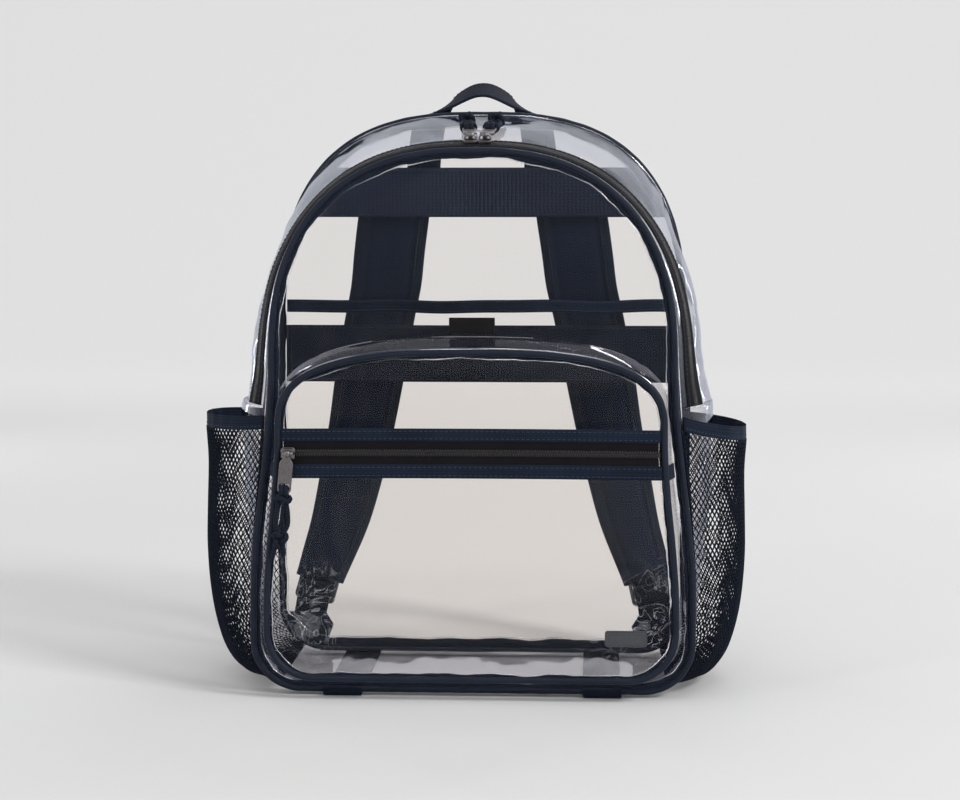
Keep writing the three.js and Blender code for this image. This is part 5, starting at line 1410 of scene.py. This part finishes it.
def makeStraps():
    falls = np.concatenate([np.linspace(0, 0.94, 96), np.linspace(0.95, 1, 7)])
    for name, side in (("left", -1), ("right", 1)):
        spots = strapSpot(falls, side)
        slopeZ = np.gradient(spots[:, 2])
        slopeY = np.gradient(spots[:, 1])
        outwards = unit(np.stack([0 * slopeZ, -slopeZ, slopeY], 1))
        wide = strap["width"] * tableValue(strapRows, "fall", falls, "width")
        thick = strap["pad"] * tableValue(strapRows, "fall", falls, "pad")
        section = padSection(strap["width"])
        dent = 1 - 0.05 * np.abs(ripples(falls * 340, 0 * falls, 48, 121 + side))
        rings = []
        end = buckleFrame(side)
        lastRing = ((end["padEnd"] + end["down"] * 2.2)[None] + section[:, :1] * end["across"] * wide[-1]
                    + section[:, 1:2] * end["out"] * end["padWall"])
        for k in range(len(falls)):
            centre = spots[k] + outwards[k] * thick[k] / 2
            ring = centre[None] + section[:, 1:2] * outwards[k] * thick[k] * dent[k]
            ring[:, 0] += section[:, 0] * wide[k]
            if falls[k] > 0.94:
                ring = lerp(ring, lastRing, smoothStep(0.94, 1, falls[k]))
            rings.append(ring)
        rings = np.array(rings)
        draft = Draft()
        addLoft(draft, rings)
        columns = len(section)
        flags = section[:, 2]
        bound = (flags > 0) & (np.roll(flags, -1) > 0)
        for face in range((len(falls) - 1) * columns):  # binding along the edges and over both ends
            fall = falls[face // columns]
            if bound[face % columns] or fall < 0.02 or fall > 0.972:
                draft.slots[face] = 1
        pad = makePiece(f"padded_strap_{name}", draft, ["spacerMesh", "bindingTape"],
                        [f"shoulder_strap_{name}"])
        sewing = Draft()
        for column in (3, columns // 2 - 4, columns // 2 + 3, columns - 4):
            line = rings[2:-3, column]
            away = line - (spots + outwards * (thick / 2)[:, None])[2:-3]
            away = outwards[2:-3] * np.sign((away * outwards[2:-3]).sum(1))[:, None]
            sewLine(sewing, line + away * 0.1, away)
        k = int(np.argmin(np.abs(falls - strap["seam"])))
        for face, sign in ((0, 1), (columns // 2, -1)):
            line = rings[k, face + 4:face + columns // 2 - 5]
            sewAlong(sewing, line + outwards[k] * 0.1 * sign, outwards[k] * sign)
        makeStitching(f"strap_stitching_{name}", sewing)
        makeBuckle(name, end)
        makeStrapWeb(name, side, end)
        makeAnchor(name, side)


def makeBuckle(name, end):
    matrix = Matrix.Identity(4)
    for column, vector in enumerate((-end["across"], -end["down"], end["out"])):
        for row in range(3):
            matrix[row][column] = vector[row]
    matrix = Matrix.Translation(Vector(end["centre"])) @ matrix
    slotMiddle = buckle["length"] / 2 - buckle["bar"] - buckle["slot"] / 2
    outlines = [roundedOutline(buckle["width"], buckle["length"], 3.2, steps=7)]
    for sign in (-1, 1):
        outlines.append(roundedOutline(webTape["width"] + 0.8, buckle["slot"], 0.8, 0, sign * slotMiddle))
    draft = Draft()
    addPlate(draft, outlines, buckle["wall"], 0.7, matrix)
    for k in range(9):  # grip ribs on the end bar
        spot = (-10 + 2.5 * k, -(buckle["length"] / 2 - buckle["bar"] / 2), 2.0)
        addBlock(draft, (0.9, buckle["bar"] - 1.2, 0.7), spot, 0.25, matrix)
    makePiece(f"ladder_buckle_{name}", draft, ["acetal"], [f"strap_adjuster_{name}"], angle=40)


def makeStrapWeb(name, side, end):
    centre, down, across, out = end["centre"], end["down"], end["across"], end["out"]

    def at(along, away):
        return centre + down * along + out * away

    face = buckle["wall"] / 2
    tailOut = face + gap + webTape["wall"] / 2
    leadOut = tailOut + webTape["wall"] + 2 * gap
    slotMiddle = buckle["length"] / 2 - buckle["bar"] - buckle["slot"] / 2
    barHalf = slotMiddle - buckle["slot"] / 2
    half = buckle["length"] / 2
    flat = np.array([1.0, 0, 0])
    rows = [
        (np.array([side * anchor["webX"], end["tabFace"], anchor["webLow"]]), flat),
        (np.array([side * anchor["webX"], end["tabFace"], anchor["webHigh"] - 4]), flat),
        (at(half, -leadOut), across), (at(0, -leadOut), across), (at(-slotMiddle + 1.2, -leadOut + 0.5), across),
        (at(-slotMiddle, -face), across), (at(-slotMiddle, face), across), (at(-barHalf, tailOut), across),
        (at(barHalf, tailOut), across), (at(slotMiddle, face), across), (at(slotMiddle, -face + 0.6), across),
        (at(slotMiddle + 1.6, -tailOut + 0.3), across), (at(half + 1, -tailOut), across),
        (at(half + 5, -tailOut + 1), across), (at(half + webTape["tail"], webTape["tailOut"]), across),
    ]
    line = easedLine(np.array([np.concatenate(row) for row in rows]), 0.5, 3)
    draft = Draft()
    section = tapeSection(webTape["width"], webTape["wall"], 2, 6)
    addLoft(draft, ribbonRings(line[:, :3], line[:, 3:], section))
    makePiece(f"strap_web_{name}", draft, ["webbing"], [f"strap_webbing_{name}"])
    # the short loop that holds the buckle to the pad
    loop = [(-half - 2, face + 0.9), (-8, face + 0.9), (-6.3, face + 0.5), (-5.5, 0.6)]
    loop += [(along, -away) for along, away in reversed(loop)]
    line = easedLine(np.array([np.concatenate([at(*spot), across]) for spot in loop]), 0.5, 2)
    wrapped = Draft()
    addLoft(wrapped, ribbonRings(line[:, :3], line[:, 3:], tapeSection(webTape["width"] - 0.4, 1.5, 2, 6)))
    makePiece(f"strap_loop_{name}", wrapped, ["webbing"])


def makeAnchor(name, side):
    s = np.linspace(2, 6, 15)
    x, z, _, _ = seamPoint(backSeam, s, anchor["inset"])
    outline = [(side * a, min(b, anchor["top"])) for a, b in zip(x, z)]
    outline += [(side * (anchor["left"] + 6), anchor["top"]), (side * anchor["left"], anchor["top"] - 10)]
    outline = np.array(outline)
    keep = [k for k in range(len(outline)) if np.hypot(*(outline[k] - outline[k - 1])) > 0.3]
    outline = outline[keep]
    if side < 0:
        outline = outline[::-1]
    low, high = nodeBox(f"strap_anchor_{name}")
    stand = Matrix.Translation(Vector((0, (low[1] + high[1]) / 2, 0))) @ upright
    draft = Draft()
    addPlate(draft, [outline], 2.0, 0.6, stand)
    makePiece(f"anchor_tab_{name}", draft, ["bindingTape"], [f"strap_anchor_{name}"], angle=50)
    sewing = Draft()
    middle = outline.mean(0)
    inner = middle + (outline - middle) * 0.84
    line = np.stack([inner[:, 0], np.full(len(inner), high[1] - 0.1), inner[:, 1]], 1)
    sewAlong(sewing, np.concatenate([line, line[:1]]), [0, 1, 0], pitch=3)
    box = np.array([(-9, 1), (9, 1), (9, 9), (-9, 9), (-9, 1), (9, 9), (9, 1), (-9, 9)], float)
    spots = np.stack([side * anchor["webX"] + box[:, 0], np.full(8, high[1] + 1.75), anchor["webLow"] + box[:, 1]], 1)
    sewAlong(sewing, easedLine(spots, 0.8, 0), [0, 1, 0], pitch=2.8)  # the box with its cross
    makeStitching(f"anchor_stitching_{name}", sewing)


makeStraps()
print("straps padded")

# Base webbings

baseWeb = {"width": 27, "wall": 1.8}


def makeBaseWebs():
    for name in ("left", "right"):
        low, high = nodeBox(f"base_webbing_{name}")
        x = (low[0] + high[0]) / 2
        half = baseWeb["wall"] / 2
        spots = [[x, low[1] + half, high[2]], [x, low[1] + half, half + 0.1], [x, high[1] - half, half + 0.1],
                 [x, high[1] - half, high[2]]]
        line = easedLine(spots, 0.6, 3)
        line[:, 2] = np.maximum(line[:, 2], half + 0.02)
        draft = Draft()
        section = tapeSection(baseWeb["width"], baseWeb["wall"], 3, 8)
        addLoft(draft, ribbonRings(line, np.broadcast_to([1.0, 0, 0], line.shape), section))
        makePiece(f"base_web_{name}", draft, ["webbing"], [f"base_webbing_{name}"])


makeBaseWebs()

# Mesh side pockets

meshPocket = {"height": 183, "foot": 3.25, "frontRim": 197, "backRim": 188, "rim": 10, "rimWall": 2, "stitchUp": 2.2}
rimDrop = {"left": 0, "right": 8}
netWall = 1.0
netCell = {"wide": 4.1, "tall": 5.8, "yarn": 1.25, "fold": 2.2, "folds": 6.3}
netReach = {"left": 196.5, "right": 193.5}  # the stretched cloth stands a little off its solid
netRows = [
    {"rise": 0, "out": 0, "up": 0},
    {"rise": 0.08, "out": 0.18, "up": 0.02},
    {"rise": 0.19, "out": 0.55, "up": 0.045},
    {"rise": 0.3, "out": 0.75, "up": 0.11},
    {"rise": 0.43, "out": 0.88, "up": 0.22},
    {"rise": 0.55, "out": 0.96, "up": 0.355},
    {"rise": 0.68, "out": 1, "up": 0.53},
    {"rise": 0.8, "out": 0.995, "up": 0.7},
    {"rise": 0.91, "out": 0.985, "up": 0.87},
    {"rise": 1, "out": 1.01, "up": 1},
]


# Any point of a side pocket: its rise from foot to rim, and its share of the bag's depth
def pocketSurface(side, drop, rise, share, extra, offset):
    rise, share = np.broadcast_arrays(np.asarray(rise, float), np.asarray(share, float))
    edge = piping["radius"] + 2 * gap + netWall / 2
    standOff = filmWall / 2 + gap + offset
    footX = bagSkin(meshPocket["foot"], middleY, standOff)[..., 0]
    y = lerp(frontY + edge, backY - edge, share)
    rimTop = lerp(meshPocket["frontRim"], meshPocket["backRim"], share)
    top = stationAt(frontSeam, rimTop - meshPocket["rim"] - gap)
    station = lerp(meshPocket["foot"], top, rise)
    seat = bagSkin(station, y, standOff)
    middle = bagSkin(station, middleY, standOff)
    out = tableValue(netRows, "rise", rise, "out")
    up = tableValue(netRows, "rise", rise, "up")
    outX = lerp(footX, netReach["left" if side < 0 else "right"], out)
    outZ = lerp(middle[..., 2], (meshPocket["height"] - drop) * up, np.minimum(out * 5, 1))
    bow = np.maximum(np.sin(math.pi * share), 0) ** 0.75
    x = seat[..., 0] + np.maximum(outX - middle[..., 0], 0) * bow
    z = seat[..., 2] + (outZ - middle[..., 2]) * bow + extra
    return np.stack([side * x, y, z], -1)


def makeSidePocket(name, side):
    drop = rimDrop[name]
    # even steps over the cloth, from a coarse measure of it
    rises = shares = np.linspace(0, 1, 60)
    coarse = pocketSurface(side, drop, rises[:, None], shares[None], 0, netWall / 2)
    upRun, roundRun = gridRun(coarse, 0), gridRun(coarse, 1)
    rowCount = int(upRun[-1] / (netCell["tall"] / 2)) // 2 * 2
    columnCount = int(roundRun[-1] / netCell["wide"])
    points, firsts = [], []
    for i in range(rowCount + 1):
        rise = np.interp(i / rowCount * upRun[-1], upRun, rises)
        odd = i % 2  # odd rows lie half a cell aside, with one more point
        places = np.clip(np.arange(columnCount + 1 + odd) - 0.5 * odd, 0, columnCount)
        share = np.interp(places / columnCount * roundRun[-1], roundRun, shares)
        spot = pocketSurface(side, drop, rise, share, 0, netWall / 2)
        normal = spot - pocketSurface(side, drop, rise, share, 0, netWall / 2 - 1)
        free = np.sin(math.pi * share) ** 0.5 * smoothStep(0, 0.15, rise) * (1 - 0.75 * smoothStep(0.9, 1, rise))
        phase = places / columnCount * 2 * math.pi * netCell["folds"] + 1.5 * math.sin(rise * 5) + side
        wave = netCell["fold"] * np.sin(phase) * (0.35 + 0.65 * rise)
        wave = wave + 0.7 * ripples(places * 3.5, 0 * places + i * 2.5, 38, 131 + side)
        firsts.append(len(points))
        points.extend(spot + normal * (np.maximum(wave, -1.6) * free)[:, None])
    faces = []
    for i in range(rowCount - 1):  # diamonds from row i up to row i + 2
        odd = i % 2
        for j in range(columnCount + 1 - odd):
            low, left, high = firsts[i] + j + odd, firsts[i + 1] + j, firsts[i + 2] + j + odd
            faces.append([low, left + 1, high, left] if side > 0 else [low, left, high, left + 1])
    draft = Draft()
    draft.add(points, faces, [np.zeros((4, 2))] * len(faces))
    net = makePiece(f"side_net_{name}", draft, ["netYarn"], [f"mesh_pocket_{name}"])
    wire = net.modifiers.new("yarn", "WIREFRAME")
    wire.thickness = netCell["yarn"] / metre
    wire.use_even_offset = False
    wire.use_boundary = True
    wire.use_relative_offset = False
    line = np.linspace(0, 1, 81)
    rings = []
    for up, out in tapeSection(meshPocket["rim"], meshPocket["rimWall"] * 0.9, 3, 6):
        height = gap + meshPocket["rim"] / 2 + up
        gather = 0.25 * ripples(line * 160, 0 * line + up * 0.5, 17, 141 + side)
        ring = pocketSurface(side, drop, 1.0, line, height, meshPocket["rimWall"] / 2 + out)
        ring[:, 0] += side * gather * smoothStep(0, 0.1, np.minimum(line, 1 - line))
        rings.append(ring)
    rim = Draft()
    addLoft(rim, np.stack(rings, 1))
    rimPiece = makePiece(f"side_rim_{name}", rim, ["bindingTape"], [f"mesh_rim_{name}"])
    sewing = Draft()
    for out in (-1, 1):
        row, away = (pocketSurface(side, drop, 1.0, line, gap + meshPocket["stitchUp"],
                                   meshPocket["rimWall"] / 2 + out * reach) for reach in (0.92, 1.92))
        sewLine(sewing, row, away - row)
    makeStitching(f"side_rim_stitching_{name}", sewing)
    print("net hung:", name, len(faces), "cells")


for sideName, sideSign in (("left", -1), ("right", 1)):
    makeSidePocket(sideName, sideSign)
print("side pockets hung")

# Sliders and pullers

slider = {"length": 9.5, "plate": 1.4, "lip": 1.2, "bar": 1.4}
pullerSize = {"eye": 1.5, "eyeWall": 1.1, "eyeWidth": 3.2, "width": 9.5, "length": 27, "wall": 1.6, "window": 4.1}


def makePull(pull, base, swing, nodes, coil):
    plateIn = 1.1 + gap
    plateOut = plateIn + slider["plate"]
    lipMiddle = coil / 2 + gap + slider["lip"] / 2
    width = 2 * lipMiddle + slider["lip"]
    top = cordSize["eyeOut"] + slider["bar"] / 2
    body = Draft()
    flat = base @ Matrix.Translation((0, -(plateIn + plateOut) / 2, 0)) @ upright
    outline = np.array([(-4.75, -width * 0.36), (-2.5, -width / 2), (3.6, -width / 2), (4.75, -width * 0.4),
                        (4.75, width * 0.4), (3.6, width / 2), (-2.5, width / 2), (-4.75, width * 0.36)])
    addPlate(body, [outline], slider["plate"], 0.4, flat)
    for sign in (-1, 1):
        lipDepth = plateOut - 0.8
        lipSize = (slider["length"] - 1.6, lipDepth, slider["lip"])
        addBlock(body, lipSize, (0.3, -(0.8 + lipDepth / 2), sign * lipMiddle), 0.35, base)
    bridge = smoothLine([[-4.0, -plateOut + 0.3, 0], [-3.6, -top + 1.3, 0], [-1.8, -top + 0.5, 0], [1.8, -top + 0.5, 0],
                         [3.6, -top + 1.3, 0], [4.0, -plateOut + 0.3, 0]], 25)
    section = tapeSection(2.2, 1.3, 3, 4)
    rings = ribbonRings(bridge, np.broadcast_to([0.0, 0, 1.0], bridge.shape), section)
    addLoft(body, placed(rings, base))
    makePiece(f"{pull}_zip_slider", body, ["castZinc"], [nodes[0]], angle=45)
    hang = base @ Matrix.Rotation(swing, 4, "Y")
    tab = Draft()
    stand = hang @ Matrix.Translation((0, -cordSize["eyeOut"], 0)) @ upright
    half = pullerSize["width"] / 2
    length = pullerSize["length"]
    neck = -(pullerSize["eye"] + pullerSize["eyeWall"] / 2)
    edge = [(1.9, neck), (2.6, neck - 1.4), (half - 0.6, neck - 3.2), (half, neck - 5), (half, -length + 2.2),
            (half - 0.5, -length + 0.8), (half - 2, -length), (-half + 2, -length), (-half + 0.5, -length + 0.8),
            (-half, -length + 2.2), (-half, neck - 5), (-half + 0.6, neck - 3.2), (-2.6, neck - 1.4), (-1.9, neck)]
    window = roundedOutline(7, pullerSize["window"], 1.2, 0, -length + cordSize["bar"] + pullerSize["window"] / 2)
    addPlate(tab, [np.array(edge)[::-1], window], pullerSize["wall"], 0.42, stand)
    # a shallow raised border round the bare face
    border = [roundedOutline(6.6, 12.4, 1.4, 0, -13), roundedOutline(5.4, 11.2, 0.9, 0, -13)]
    addPlate(tab, border, pullerSize["wall"] + 0.24, 0.12, stand)
    eyeRadius = pullerSize["eye"] + pullerSize["eyeWall"] / 2
    angle = fullTurn(28)
    eye = np.stack([0 * angle, -cordSize["eyeOut"] + eyeRadius * np.sin(angle), eyeRadius * np.cos(angle)], 1)
    outDirection = unit(eye - np.array([0, -cordSize["eyeOut"], 0]))
    flatSection = tapeSection(pullerSize["eyeWidth"], pullerSize["eyeWall"], 2, 3)
    rings = (eye[:, None] + flatSection[None, :, :1] * np.array([1.0, 0, 0])
             + flatSection[None, :, 1:] * outDirection[:, None])
    addLoft(tab, placed(rings, hang), True)
    makePiece(f"{pull}_zip_puller", tab, ["castZinc"], [nodes[1]], angle=45)


for pullName, (pullBase, pullSwing, pullNodes) in pulls.items():
    makePull(pullName, pullBase, pullSwing, pullNodes, 5 if pullName == "pocket" else 6)
print("sliders and pullers set")

# Studio: pale seamless floor, soft light

studio = {
    "paper": "#d6d6d6", "world": "#ffffff", "worldStrength": 0.635,
    "farGlow": 0.245, "glowFrom": 0.7, "glowTo": 2.7,  # keeps the far paper as pale as the near; metres
    "sweepStart": 3200.0, "sweepRadius": 3000.0, "halfWidth": 6000.0,
    "lights": [
        {"name": "key", "spot": (3.0, -2.2, 3.0), "size": (0.9, 0.9), "power": 92},
        {"name": "front_strip_left", "spot": (-1.25, -1.2, 0.7), "size": (0.09, 1.6), "power": 5},
        {"name": "front_strip_right", "spot": (1.35, -0.9, 0.6), "size": (0.07, 1.5), "power": 4},
        {"name": "rear_strip_right", "spot": (1.1, 1.3, 0.7), "size": (0.05, 1.3), "power": 2.4},
        {"name": "rear_strip_left", "spot": (-1.1, 1.3, 0.7), "size": (0.05, 1.3), "power": 2.2},
        {"name": "rear_strip_top", "spot": (0.45, 1.2, 1.5), "size": (0.9, 0.05), "power": 3.6},
        {"name": "front_strip_top", "spot": (0.2, -1.3, 1.9), "size": (1.4, 0.08), "power": 4},
    ],
}


def makeStudio():
    material, tree = newTree("seamlessPaper")  # matt white background paper, lit evenly
    solid = addNode(tree, "ShaderNodeTexCoord").outputs["Object"]
    grain = addNode(tree, "ShaderNodeTexNoise", {"Vector": solid, "Scale": 300.0, "Detail": 2.0}).outputs["Fac"]
    bump = addNode(tree, "ShaderNodeBump", {"Height": grain, "Distance": 0.00003}).outputs[0]
    far = addNode(tree, "ShaderNodeSeparateXYZ", {0: solid}).outputs["Y"]
    glow = addNode(tree, "ShaderNodeMapRange", {0: far, 1: studio["glowFrom"], 2: studio["glowTo"], 3: 0.0,
                   4: studio["farGlow"]}, interpolation_type="SMOOTHSTEP").outputs[0]
    shader = addNode(tree, "ShaderNodeBsdfPrincipled", {"Base Color": toLinear(studio["paper"]), "Roughness": 0.9,
                     "Specular IOR Level": 0.1, "Emission Color": (1, 1, 1, 1), "Emission Strength": glow,
                     "Normal": bump}).outputs[0]
    addNode(tree, "ShaderNodeOutputMaterial", {"Surface": shader})
    angle = np.linspace(0, math.pi / 2, 40)
    start, radius = studio["sweepStart"], studio["sweepRadius"]
    y = np.concatenate([[-3000], np.linspace(-1500, start, 12), start + radius * np.sin(angle[1:]), [start + radius]])
    z = np.concatenate([np.zeros(13), radius - radius * np.cos(angle[1:]), [radius + 3000]])
    line = np.stack([y, z], 1)
    xs = np.array([-1.0, 0.0, 1.0]) * studio["halfWidth"]
    grid = np.stack([np.broadcast_to(xs[None], (len(line), 3)), np.broadcast_to(line[:, :1], (len(line), 3)),
                     np.broadcast_to(line[:, 1:] - 0.05, (len(line), 3))], -1)
    mesh = bpy.data.meshes.new("studio_floor")
    faces, _ = gridFaces(grid)
    mesh.from_pydata((grid.reshape(-1, 3) / metre).tolist(), [], faces.tolist())
    mesh.polygons.foreach_set("use_smooth", [True] * len(mesh.polygons))
    mesh.materials.append(material)
    floor = bpy.data.objects.new("studio_floor", mesh)
    bpy.context.scene.collection.objects.link(floor)
    world = bpy.data.worlds.new("studio")
    world.use_nodes = True
    world.node_tree.nodes["Background"].inputs["Color"].default_value = toLinear(studio["world"])
    world.node_tree.nodes["Background"].inputs["Strength"].default_value = studio["worldStrength"]
    bpy.context.scene.world = world
    for light in studio["lights"]:
        data = bpy.data.lights.new(light["name"], "AREA")
        data.shape = "RECTANGLE"
        data.size, data.size_y = light["size"]
        data.energy = light["power"]
        piece = bpy.data.objects.new(light["name"], data)
        piece.location = light["spot"]
        aim = Vector((0, 0, 0.2)) - piece.location
        piece.rotation_euler = aim.to_track_quat("-Z", "Y").to_euler()
        bpy.context.scene.collection.objects.link(piece)
    scene = bpy.context.scene
    scene.view_settings.view_transform = "Standard"
    scene.cycles.transparent_max_bounces = 96
    scene.cycles.max_bounces = 10
    scene.cycles.glossy_bounces = 4
    scene.cycles.diffuse_bounces = 4


makeStudio()
print("studio lit")
